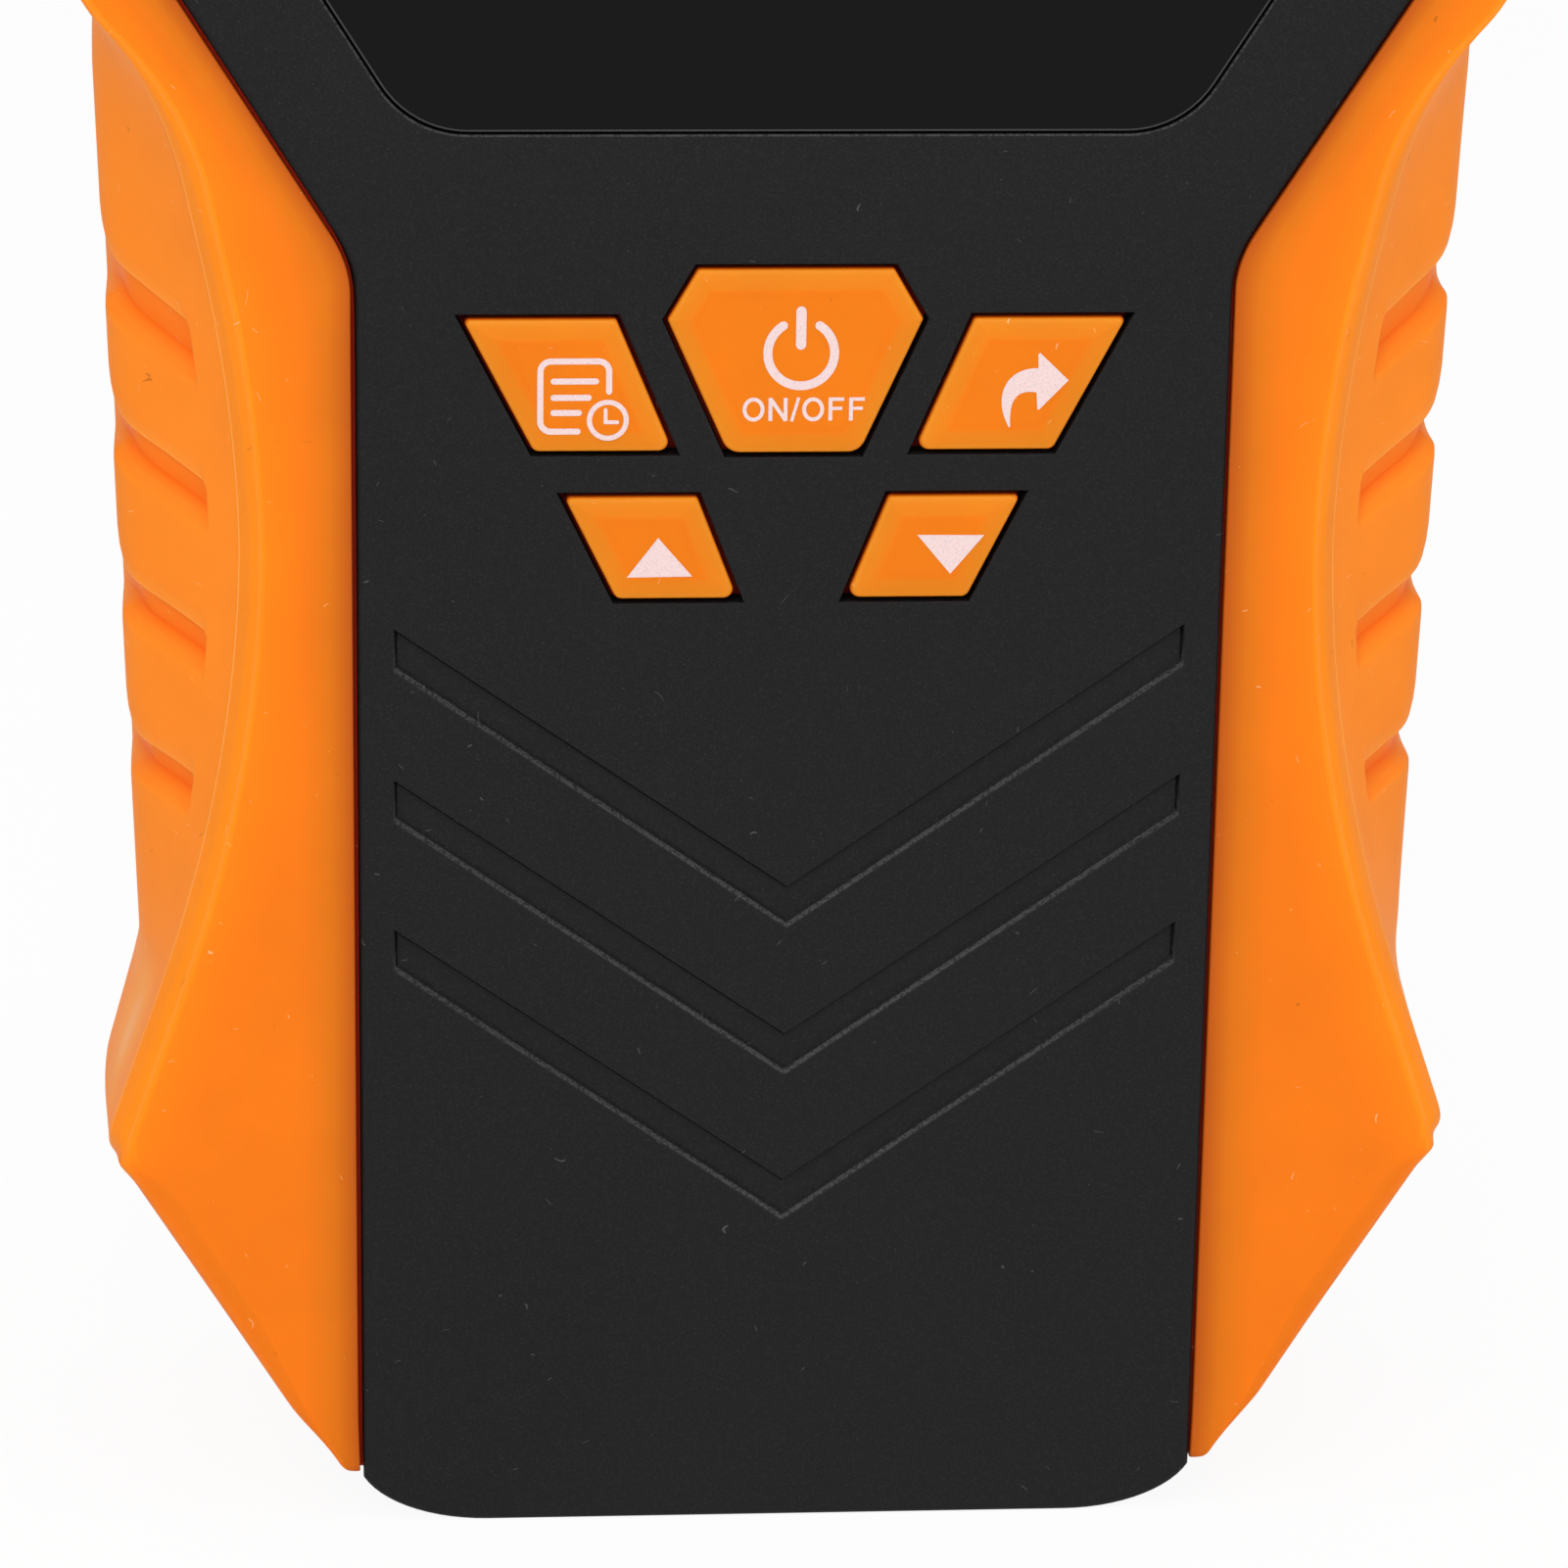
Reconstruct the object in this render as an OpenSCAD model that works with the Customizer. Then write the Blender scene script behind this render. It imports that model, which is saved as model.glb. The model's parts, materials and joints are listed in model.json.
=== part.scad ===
// Hand-held stud finder with a display, five keys and two moulded side grips.
// It stands on its chin: +Z runs from the chin to the sensing head, the keys
// face -Y and the wall side faces +Y. Lengths are in millimetres. A "depth" is
// measured from the front face of the panel towards the wall side.

/* [Overall] */
// Height from the chin to the top of the head
total_h = 170; // [164:1:180]
// Thickness from the front face to the rear face
body_t = 32; // [32:0.5:36]
// Width of the head across both grips
head_w = 98; // [96:0.5:102]
// Width across the grips at the waist of the handle
waist_w = 77; // [76:0.5:79]
// Width of the two lower corners of the grips
corner_w = 80.5; // [79:0.5:82]
// Height of the two lower corners of the grips
corner_z = 22.3; // [21:0.1:24]

/* [Front panel] */
// Width of the panel at the chin
panel_low_w = 50.7; // [50:0.1:51]
// Width of the panel just below the head
panel_knee_w = 51.4; // [51:0.1:52]
// Width of the panel across the head
panel_head_w = 86; // [84:0.5:87]
// Height at which the panel starts to widen
knee_z = 78.6; // [78:0.2:80]
// Angle of the widening edges from the vertical
flare_angle = 32.5; // [31:0.5:34]
// Radius of the two corners of the chin
chin_r = 5; // [3:0.5:6]
// Radius of the two upper corners of the panel
crown_r = 8; // [5:0.5:9]
// Height of the slanted upper corners of the head
crown_h = 18; // [16:0.5:20]
// Thickness of the panel's plate
plate_t = 2; // [1.8:0.1:2.2]
// Depth at which the grips' front bands lie on the shoulder of the cover
shoulder_d = 3; // [2.8:0.1:3.4]
// Depth of the parting plane between the front cover and the rear shell
part_d = 11; // [10.9:0.1:11]
// Wall thickness of the two shells
wall = 1.8; // [1.5:0.1:2]
// Thickness of the rear wall
back_t = 1.6; // [1.4:0.1:1.8]
// Depth of the mark notch in the top wall
notch_d = 1.2; // [0.8:0.1:1.3]

/* [Chevrons] */
// Number of sunken chevrons
chevron_count = 3; // [1:1:3]
// Height of the middle of the lowest chevron's upper edge
chevron_z = 21.9; // [21:0.1:23]
// Distance from one chevron to the next
chevron_pitch = 9.3; // [8.8:0.1:9.6]
// Width of a chevron from end to end
chevron_w = 46.9; // [42:0.1:47]
// Height of a chevron's band, measured straight up
chevron_band = 2.55; // [2:0.05:3]
// Angle of a chevron's arms above the horizontal
chevron_angle = 34.5; // [32:0.5:35]
// Depth of a chevron below the panel
chevron_deep = 0.4; // [0.2:0.05:0.6]

/* [Lens and display] */
// Height of the lens's lower edge
lens_z = 86.4; // [86:0.2:88]
// Distance from the lens's slanted edge to the panel's, along the horizontal
lens_side = 8.2; // [7.8:0.1:9]
// Distance from the lens's upright edge to the panel's
lens_margin = 7; // [6.5:0.1:8]
// Distance from the lens's upper edge to the top of the head
lens_top = 12; // [11:0.5:13]
// Radius of the lens's corners
lens_r = 6; // [4:0.5:6]
// Thickness of the lens
lens_t = 1.2; // [1:0.05:1.3]
// Width of the ledge that carries the lens
ledge = 1.6; // [1.4:0.1:2]
// Distance from the lens's upright edge to the display glass
lcd_side = 6; // [5:0.5:8]
// Distance from the lens's upper edge to the display glass
lcd_top = 9; // [9:0.5:13]
// Height of the display glass's lower edge
lcd_z = 101; // [100.5:0.5:102]
// Thickness of the display glass
lcd_t = 1.8; // [1.6:0.1:2]
// Wall thickness of the frame round the display glass
bezel_t = 1; // [0.8:0.1:1.2]

/* [Keys] */
// Travel of a key
key_travel = 0.8; // [0.6:0.1:1]
// Height of the keys above the panel
key_proud = 0.25; // [0.1:0.05:0.4]
// Gap between a key and the edge of its opening
key_gap = 0.25; // [0.2:0.05:0.35]
// Radius of the keys' corners
key_r = 0.6; // [0.4:0.1:0.8]
// Width of the bevel round a key's top
key_bevel = 0.7; // [0.5:0.1:0.9]
// Thickness of a key's flange under the panel
flange_t = 1; // [0.8:0.1:1.2]
// Width of a key's flange beyond the key
flange_w = 0.8; // [0.7:0.05:0.9]
// Radius of the plunger under a key
plunger_r = 1.6; // [1.2:0.1:2]
// Height of the power key's top edge
power_z = 78.3; // [78:0.1:78.8]
// Height of the power key
power_h = 11.05; // [10.8:0.05:11.2]
// Height of the power key's upper sloping part
power_cap = 3.03; // [2.6:0.1:3.4]
// Width of the power key's top edge
power_top_w = 11.5; // [11:0.1:12]
// Width of the power key at its widest
power_w = 15.05; // [14.6:0.05:15.2]
// Width of the power key's bottom edge
power_low_w = 7.8; // [7.2:0.1:8]
// Height of the menu keys' top edge
menu_z = 75.35; // [75:0.05:75.6]
// Height of a menu key
menu_h = 7.98; // [7.6:0.02:8.1]
// Distance from the middle to a menu key's outer top corner
menu_x = 19.5; // [19.3:0.1:19.8]
// Width of a menu key's top edge
menu_top_w = 9; // [8.6:0.1:9]
// Width of a menu key's bottom edge
menu_low_w = 8.2; // [7.8:0.1:8.4]
// Sideways lean of a menu key's outer edge
menu_lean = 4.2; // [4:0.1:4.4]
// Height of the step keys' top edge
step_z = 64.62; // [64.4:0.02:64.8]
// Height of a step key
step_h = 6.22; // [6:0.02:6.4]
// Distance from the middle to a step key's outer top corner
step_x = 13.5; // [13.3:0.1:13.7]
// Width of a step key's top edge
step_top_w = 7.85; // [7.6:0.05:8]
// Width of a step key's bottom edge
step_low_w = 7.2; // [6.9:0.1:7.4]
// Sideways lean of a step key's outer edge
step_lean = 3.1; // [2.9:0.1:3.3]
// Thickness of the mat under the keys
mat_t = 2.6; // [2:0.1:2.8]
// Radius of a switch dome
dome_r = 3; // [2.6:0.1:3.1]
// Height of a switch dome
dome_h = 0.4; // [0.3:0.05:0.5]

/* [Grips] */
// Half width of the front band at its narrowest, from the middle of the handle
ridge_x = 31.3; // [30.8:0.1:32]
// Width of the narrow bevel between the front band and the pad
bevel_w = 1.2; // [0.9:0.1:1.5]
// Depth of the pad's inner edge
pad_d = 2.6; // [2.2:0.1:3]
// Depth at which the grips are widest
side_d = 13; // [12:0.5:14]
// Number of finger grooves in a grip
groove_count = 4; // [2:1:4]
// Distance from one groove to the next
groove_pitch = 9.45; // [9:0.05:9.5]
// Height of a groove
groove_h = 3.3; // [2.8:0.1:3.8]
// Depth of a groove
groove_deep = 1.2; // [0.8:0.1:1.3]
// Height of the middle of the uppermost groove at its outer end
groove_z = 75; // [74.6:0.1:75.4]
// Drop of a groove from its outer end to its inner end
groove_skew = 2.4; // [0:0.2:3]

/* [Boards] */
// Depth of the main board's front face
board_d = 8; // [7.9:0.1:8]
// Thickness of the main board
board_t = 1.6; // [1.4:0.1:1.6]
// Height of the main board's lower end
board_z = 18; // [17:0.5:20]
// Distance from the main board's upper end to the top of the head
board_top = 13; // [12.5:0.5:14]
// Gap between the main board and the shell
board_gap = 0.5; // [0.3:0.1:0.8]
// Width of the sensor board
sensor_w = 64; // [60:1:66]
// Height of the sensor board
sensor_h = 42; // [40:0.5:43]
// Distance from the sensor board's upper edge to the top of the head
sensor_top = 15; // [14:0.5:15.5]
// Thickness of the sensor board
sensor_t = 1.2; // [1:0.1:1.4]
// Height of the stakes' feet under the sensor board
stake_h = 1.2; // [1:0.1:1.6]
// Thickness of the copper plates on the sensor board
copper_t = 0.1; // [0.06:0.02:0.2]
// Outer radius of the metal detection coil
coil_r = 19; // [17:0.5:19.5]
// Width of the coil's winding
coil_band = 4; // [3:0.5:5]
// Height of the coil's winding
coil_t = 4; // [3:0.5:5]
// Radius of the buzzer
buzzer_r = 6; // [5:0.5:6.5]
// Height of the buzzer
buzzer_h = 5; // [4:0.5:6]

/* [Battery] */
// Width of the battery
battery_w = 26.5; // [26:0.1:26.5]
// Thickness of the battery
battery_t = 17.5; // [17:0.1:17.5]
// Height of the battery without its studs
battery_h = 46.4; // [46:0.1:47]
// Radius of a battery stud
stud_r = 3; // [2.8:0.1:3.2]
// Height of a battery stud
stud_h = 2.2; // [2:0.1:2.4]
// Height of the snap cap on the studs
snap_h = 4; // [3.6:0.1:4.4]
// Gap round the battery in its bay
battery_gap = 0.3; // [0.2:0.05:0.4]
// Wall thickness of the battery bay
bay_t = 1.2; // [1:0.1:1.2]
// Width of the ledge round the bay that carries the door
door_ledge = 1; // [0.8:0.1:1.2]
// Height of the bay's floor
bay_z = 12; // [11:0.5:13]
// Gap round the battery door
door_gap = 0.2; // [0.15:0.05:0.3]
// Number of thumb ridges on the door
ridge_count = 5; // [3:1:7]
// Height of a thumb ridge
ridge_h = 0.4; // [0.2:0.05:0.5]
// Thickness of the foam strip behind the battery
foam_t = 0.3; // [0.2:0.05:0.3]
// Radius of a battery lead
lead_r = 0.7; // [0.5:0.05:0.8]

/* [Fasteners and pads] */
// Radius of a case screw's shank
screw_r = 1.2; // [1.1:0.05:1.4]
// Radius of a case screw's head
screw_head_r = 2.4; // [2.2:0.1:2.5]
// Height of a case screw's head
screw_head_h = 1.8; // [1.6:0.1:2]
// Distance from the rear face to a screw head's seat
screw_sink = 5; // [4:0.5:6]
// Radius of a screw boss
boss_r = 3.2; // [3.1:0.1:3.4]
// Radius of a board screw's shank
pin_r = 0.9; // [0.8:0.05:1]
// Radius of a board post
post_r = 2.2; // [2:0.1:2.4]
// Height of the glide pads above the rear face
glide_h = 0.8; // [0.5:0.1:1.2]
// Width of a glide pad
glide_w = 5; // [4:0.5:6]

/* [Hidden] */

$fn = 48;
arc_steps = 5;              // straight pieces in a rounded corner
fit_gap = 0.12;             // gap between a grip and the shells
bore_gap = 0.05;            // gap between a screw and its pilot bore
hole_gap = 0.2;             // gap between a screw and a clearance hole
eps = 0.01;                 // overlap of a cut past the face it opens

black = [0.13, 0.13, 0.13];
orange = [0.98, 0.5, 0.13];
smoke = [0.05, 0.05, 0.06];
board_green = [0.05, 0.32, 0.18];
metal = [0.75, 0.75, 0.73];
copper = [0.8, 0.5, 0.3];
foam_grey = [0.3, 0.3, 0.32];

total_t = body_t + glide_h + key_proud;
front_y = key_proud - total_t / 2;      // place of the panel's front face

// ---- outlines: half widths as functions of the height z ----

flare = tan(flare_angle);
knee_x = panel_knee_w / 2;
head_z = knee_z + (panel_head_w / 2 - knee_x) / flare;      // the panel is upright above this
crown_z = total_h - crown_h;                                // and slants in above this
crown_slope = 0.62;
outer_crown_slope = 0.94;
bend_r = 4;                             // half height of the stretch over which an edge bends
fade_z = 3.2;                           // distance of the grips' tips from the object's two ends
fade_h = 0.2;                           // height over which the core steps out behind a tip

// Height gained past a bend at the height "at", eased over r on both sides.
function bend(z, at, r) = z <= at - r ? 0 : z >= at + r ? z - at : pow(z - at + r, 2) / (4 * r);

// How far a corner of radius r at the height "end" draws the edge in.
function corner(away, r) = away >= r ? 0 : r - sqrt(max(0, r * r - pow(r - away, 2)));

function panel_x(z) = panel_low_w / 2 + (panel_knee_w - panel_low_w) / 2 * min(z, knee_z) / knee_z
    + flare * (bend(z, knee_z, bend_r) - bend(z, head_z, bend_r))
    - crown_slope * bend(z, crown_z, bend_r)
    - corner(z, chin_r) - corner(total_h - z, crown_r);

// The grips' widest outline: a slanted foot, a slightly flaring waist, then the head.
foot_x = corner_w / 2 - flare * (corner_z - fade_z);        // half width at the grips' lower tips
waist_z = 36.2;
waist_flare = 0.0407;
heel_slope = 0.38;
heel_z = 32.3;
grip_in = head_w / 2 - panel_head_w / 2;                    // grip's width beside the head
function foot(z) = foot_x + flare * (z - fade_z);
function waist(z) = waist_w / 2 + waist_flare * (z - waist_z) + heel_slope * bend(-z, -heel_z, bend_r);
function head(z) = knee_x + grip_in + flare * (z - knee_z - bend(z, head_z, bend_r));
function crown(z) = head_w / 2 - outer_crown_slope * bend(z, crown_z, bend_r);
function side_x(z) = z < fade_z || z > total_h - fade_z ? panel_x(z)
    : min(foot(z), crown(z), max(waist(z), head(z)));

// The ridge that ends the flat front band: an arc between the foot and the head.
ridge_low_slope = 0.347;
ridge_low_z = 48.2;
ridge_low_r = 14;
ridge_top_slope = 0.22;
ridge_top_z = 69;
ridge_top_r = 9;
ridge_end_slope = 0.75;
ridge_end_z = 88;
ridge_end_r = 5;
function ridge(z) = ridge_x + ridge_low_slope * bend(-z, -ridge_low_z, ridge_low_r)
    + ridge_top_slope * bend(z, ridge_top_z, ridge_top_r)
    + ridge_end_slope * bend(z, ridge_end_z, ridge_end_r);
roll = 2.4;                             // width of the rolled edge beside the foot and the head
function rolled(z) = side_x(z) - min(roll, 0.6 * (side_x(z) - panel_x(z)));
function edge_x(z) = min(ridge(z), rolled(z));
function pad_x(z) = min(edge_x(z) + bevel_w, side_x(z) - 0.25 * (side_x(z) - edge_x(z)));

// Stepped core of the two shells, under the grips: [front depth, rear depth, share of the
// grip's width by which the step stands out from the panel].
rebate_d = body_t - 7;                  // the core steps in behind this depth
back_d = body_t - back_t;
steps = [[0, shoulder_d, 0], [shoulder_d, part_d, 0.25], [part_d, rebate_d, 0.78],
    [rebate_d, back_d, 0.39], [back_d, body_t, 0.2]];
function step_x_at(k, z) = panel_x(z) + steps[k][2] * max(0, side_x(z) - panel_x(z));

// ---- grooves of the grips ----

groove_wall = 1.2;                      // height over which a groove's wall slopes to its floor
groove_low = groove_z - (groove_count - 0.5) * groove_pitch;
groove_high = groove_z + groove_pitch / 2;
groove_heights = [for (i = [groove_count - 1 : -1 : 0])
    let (mid = groove_z - i * groove_pitch, low = mid - groove_h / 2, top = mid + groove_h / 2)
    each [i == groove_count - 1 ? groove_low : mid - groove_pitch / 2,
        low, low + groove_wall, top - groove_wall, top]];
// How deep the grips are cut at the height z, where a groove has its full depth.
function groove_cut(z) = let (
        i = round((groove_z - z) / groove_pitch),
        off = z - (groove_z - i * groove_pitch) + groove_h / 2)
    i < 0 || i >= groove_count || off <= 0 || off >= groove_h ? 0
    : groove_deep * min(1, off / groove_wall, (groove_h - off) / groove_wall);

// Heights at which all outlines are worked out.
function span(a, b, n) = [for (i = [0 : n - 1]) a + (b - a) * i / n];
heights = concat(span(0, fade_z - fade_h, 4), [fade_z - fade_h], span(fade_z, corner_z, 6),
    span(corner_z, groove_low, 7), groove_heights, span(groove_high, knee_z + bend_r, 3),
    span(knee_z + bend_r, head_z - bend_r, 6), span(head_z - bend_r, head_z + bend_r, 4),
    span(head_z + bend_r, crown_z - bend_r, 3), span(crown_z - bend_r, crown_z + bend_r, 4),
    span(crown_z + bend_r, total_h - fade_z, 5), [total_h - fade_z],
    span(total_h - fade_z + fade_h, total_h, 4), [total_h]);

// ---- helpers ----

// Extrudes an outline drawn in X and Z from one depth to another.
module slab(d0, d1) translate([0, front_y + d1, 0]) rotate([90, 0, 0]) linear_extrude(d1 - d0) children();

// A round bar or bore along the depth at [x, z].
module bar(at, r, d0, d1) translate([0, 0, at[1]]) translate([at[0], front_y + d0, 0])
    rotate([-90, 0, 0]) cylinder(r = r, h = d1 - d0);

// A box given by its ranges in X, depth and Z.
module block(x0, x1, d0, d1, z0, z1) translate([x0, front_y + d0, z0]) cube([x1 - x0, d1 - d0, z1 - z0]);

module both_sides() {
    children();
    mirror([1, 0, 0]) children();
}

// Unit normal of the edge from p to q of an outline that runs anticlockwise.
function normal(p, q) = [q[1] - p[1], p[0] - q[0]] / norm(q - p);
// Convex outline moved outwards by d.
function grown(pts, d) = [for (i = [0 : len(pts) - 1])
    let (n = len(pts), a = normal(pts[(i + n - 1) % n], pts[i]), b = normal(pts[i], pts[(i + 1) % n]))
    pts[i] + (a + b) * d / (1 + a * b)];
// Convex outline with its corners rounded to the radius r.
function rounded(pts, r) = [for (i = [0 : len(pts) - 1])
    let (n = len(pts), c = grown(pts, -r)[i], a = normal(pts[(i + n - 1) % n], pts[i]),
        b = normal(pts[i], pts[(i + 1) % n]), a0 = atan2(a[1], a[0]),
        turn = (atan2(b[1], b[0]) - a0 + 360) % 360)
    for (k = [0 : arc_steps]) c + r * [cos(a0 + turn * k / arc_steps), sin(a0 + turn * k / arc_steps)]];
function rect(w, h, z0) = [[-w / 2, z0], [w / 2, z0], [w / 2, z0 + h], [-w / 2, z0 + h]];
// Outline turned left to right, still running anticlockwise.
function flipped(pts) = [for (i = [len(pts) - 1 : -1 : 0]) [-pts[i][0], pts[i][1]]];

// Closed skin through rings of points; each ring has as many points as the first.
module skin(rings) {
    n = len(rings[0]);
    last = len(rings) - 1;
    polyhedron(points = [for (r = rings) each r],
        faces = concat([[for (i = [0 : n - 1]) i]],
            [for (k = [0 : last - 1]) for (i = [0 : n - 1]) let (j = (i + 1) % n)
                each [[k * n + i, (k + 1) * n + i, k * n + j], [k * n + j, (k + 1) * n + i, (k + 1) * n + j]]],
            [[for (i = [n - 1 : -1 : 0]) last * n + i]]));
}

// Outline of a step of the core, drawn in by "inset" from its walls and ends.
module core_outline(k, inset = 0) {
    inside = [for (z = heights) if (z > inset && z < total_h - inset) z];
    zs = concat([inset], inside, [total_h - inset]);
    right = [for (z = zs) [step_x_at(k, z) - inset, z]];
    left = [for (i = [len(right) - 1 : -1 : 0]) [-right[i][0], right[i][1]]];
    polygon(concat(right, left));
}

module notch() slab(-eps, body_t + eps)
    polygon([[-notch_d, total_h + eps], [0, total_h - notch_d], [notch_d, total_h + eps]]);

// ---- places shared by several pieces ----

boss_in = 0.8;                          // distance from a boss to the panel's edge
low_screw_z = 9.6;
head_screw_rise = 6.2;                  // height of the middle screws above the head's lower corner
top_screw_in = 9;                       // distance from the upper screws to the top of the head
low_post_z = 44;
seat_d = body_t - screw_sink;
screw_tip_d = 4.6;
post_tip_d = 3.6;
bore_end = 0.8;                         // length of a pilot bore past the screw's tip
board_rear = board_d + board_t;
sensor_z = total_h - sensor_top - sensor_h;
sensor_rear = back_d - stake_h;
sensor_d = sensor_rear - sensor_t;
stake_r = 1;
stake_in = 3;                           // distance from a stake to the sensor board's edges
stake_spots = [for (z = [sensor_z + stake_in, sensor_z + sensor_h - stake_in]) [sensor_w / 2 - stake_in, z]];

lens_rim = 0.1;                         // the lens lies this far below the panel
lens_gap = 0.12;                        // gap round the lens in its recess
lens_rear = lens_rim + lens_t;
lens_x = panel_head_w / 2 - lens_margin;
lens_top_z = total_h - lens_top;
lens_low_x = knee_x - lens_side + flare * (lens_z - knee_z);
lens_elbow_z = lens_z + (lens_x - lens_low_x) / flare;
lens_crown = 8;                         // height of the lens's slanted upper corners
lens_outline = [[-lens_low_x, lens_z], [lens_low_x, lens_z], [lens_x, lens_elbow_z],
    [lens_x, lens_top_z - lens_crown], [lens_x - crown_slope * lens_crown, lens_top_z],
    [crown_slope * lens_crown - lens_x, lens_top_z], [-lens_x, lens_top_z - lens_crown],
    [-lens_x, lens_elbow_z]];

case_spots = [[panel_low_w / 2 - boss_in - boss_r, low_screw_z],
    [panel_head_w / 2 - boss_in - boss_r, head_z + head_screw_rise],
    [lens_x - crown_slope * lens_crown - boss_in - boss_r, total_h - top_screw_in]];
post_spots = [[panel_low_w / 2 - boss_in - post_r, low_post_z], [panel_x(head_z) - lens_side + post_r, head_z]];

gasket_w = 1.6;
lcd_w = 2 * (lens_x - lcd_side);
lcd_h = lens_top_z - lcd_top - lcd_z;
lcd_d = 3;                              // front of the display glass
flex_layer = 0.4;                       // space for the flex behind the display glass
light_d = lcd_d + lcd_t + flex_layer;   // front of the backlight
light_gap = 0.3;                        // gap behind the backlight
frame_gap = 0.15;                       // gap between the display glass and its frame

// Outlines of the keys, anticlockwise.
power_outline = [[-power_low_w / 2, power_z - power_h], [power_low_w / 2, power_z - power_h],
    [power_w / 2, power_z - power_cap], [power_top_w / 2, power_z], [-power_top_w / 2, power_z],
    [-power_w / 2, power_z - power_cap]];
function leaning(x, z, h, top_w, low_w, lean) =
    [[lean - x, z - h], [lean - x + low_w, z - h], [top_w - x, z], [-x, z]];
list_outline = leaning(menu_x, menu_z, menu_h, menu_top_w, menu_low_w, menu_lean);
up_outline = leaning(step_x, step_z, step_h, step_top_w, step_low_w, step_lean);
key_outlines = [power_outline, list_outline, flipped(list_outline), up_outline, flipped(up_outline)];
function sum(pts, i = 0) = i == len(pts) - 1 ? pts[i] : pts[i] + sum(pts, i + 1);
function middle(pts) = sum(pts) / len(pts);

flange_gap = 0.2;                       // gap between a key's flange and the panel
press_gap = 0.1;                        // gap left over a dome when a key is down
flange_d = plate_t + flange_gap;
plunger_end = board_d - dome_h - press_gap - key_travel;
dome_gap = 0.4;                         // gap round a dome in the mat
mat_edge = 3.6;                         // width of the mat round the keys

seat_gap = 0.1;                         // gap between the door and its ledge
door_d = back_d + seat_gap;             // inner face of the door
battery_rear = door_d - foam_t - seat_gap;
battery_front = battery_rear - battery_t;
bay_d = battery_front - battery_gap;
bay_x = battery_w / 2 + battery_gap;
snap_top = bay_z + battery_gap + battery_h + snap_h;
bay_top = snap_top + battery_gap;
bay_roof = bay_top + door_ledge + bay_t;
door_x = bay_x + door_ledge;            // half width of the door's opening
battery_y = (battery_front + battery_rear) / 2;
stud_x = 6.35;
lead_x = 3.2;
lead_z = bay_roof + 2;           // height at which the leads turn to the board

coil_z = sensor_z + sensor_h / 2;
ribbon_x = 26;
ribbon_w = 14;
ribbon_t = 0.6;
socket_h = 3;
socket_t = 3;
socket_edge = 1;                        // width of a socket beyond the ribbon
buzzer_at = [-20, lens_z + 6.6];
chip_z = lens_z - 2.4;
parts_z = lens_z + 17.6;                // height of the lower small parts

// ---- shells ----

module front_cover() color(black) difference() {
    union() {
        difference() {
            union() {
                slab(0, shoulder_d) core_outline(0);
                slab(shoulder_d, part_d) core_outline(1);
            }
            slab(plate_t, shoulder_d + wall) core_outline(0, wall);
            slab(shoulder_d + wall - eps, part_d + eps) core_outline(1, wall);
        }
        both_sides() for (p = case_spots) bar(p, boss_r, plate_t - eps, part_d);
        both_sides() for (p = post_spots) bar(p, post_r, plate_t - eps, board_d);
    }
    both_sides() for (p = case_spots) bar(p, screw_r + bore_gap, screw_tip_d - bore_end, part_d + eps);
    both_sides() for (p = post_spots) bar(p, pin_r + bore_gap, post_tip_d - bore_end, board_d + eps);
    for (pts = key_outlines) slab(-eps, plate_t + eps) polygon(grown(pts, key_gap));
    slab(-eps, lens_rear) polygon(rounded(grown(lens_outline, lens_gap), lens_r));
    slab(-eps, plate_t + eps) polygon(rounded(grown(lens_outline, -ledge), lens_r - ledge));
    chevrons();
    notch();
}

module chevrons() for (i = [0 : chevron_count - 1]) {
    tip = chevron_z + i * chevron_pitch;
    x = chevron_w / 2;
    rise = x * tan(chevron_angle);
    slab(-eps, chevron_deep) polygon([[0, tip], [-x, tip + rise], [-x, tip + rise - chevron_band],
        [0, tip - chevron_band], [x, tip + rise - chevron_band], [x, tip + rise]]);
}

module rear_shell() color(black) difference() {
    union() {
        difference() {
            union() for (k = [2 : 4]) slab(steps[k][0], steps[k][1]) core_outline(k);
            slab(part_d - eps, part_d + wall) core_outline(1, wall);
            slab(part_d + wall - eps, rebate_d - wall) core_outline(2, wall);
            slab(rebate_d - wall - eps, back_d - wall) core_outline(3, wall);
            slab(back_d - wall - eps, back_d) core_outline(4, wall);
        }
        block(-door_x - bay_t, door_x + bay_t, bay_d - bay_t, back_d + eps,
            bay_z - door_ledge - bay_t, bay_roof);
        both_sides() for (p = case_spots) bar(p, boss_r, part_d, back_d + eps);
        both_sides() for (p = stake_spots) {
            bar(p, 2 * stake_r, sensor_rear, back_d + eps);
            bar(p, stake_r, sensor_d - stake_r / 2, back_d + eps);
        }
    }
    block(-bay_x, bay_x, bay_d, body_t + eps, bay_z, bay_top);
    block(-door_x, door_x, back_d, body_t + eps, bay_z - door_ledge, bay_top + door_ledge);
    both_sides() for (p = case_spots) {
        bar(p, screw_r + hole_gap, part_d - eps, seat_d + eps);
        bar(p, screw_head_r + hole_gap, seat_d, body_t + eps);
    }
    for (x = [-lead_x, lead_x]) translate([x, front_y + battery_y, bay_top - eps])
        cylinder(r = lead_r + hole_gap, h = bay_roof - bay_top + 2 * eps);
    sound_slots();
    notch();
}

module sound_slots() {
    slot_w = 1.2;
    slot_pitch = 3;
    for (i = [-2 : 2]) block(buzzer_at[0] - buzzer_r, buzzer_at[0] + buzzer_r, back_d - eps, body_t + eps,
        buzzer_at[1] + i * slot_pitch - slot_w / 2, buzzer_at[1] + i * slot_pitch + slot_w / 2);
}

// ---- grips ----

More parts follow.
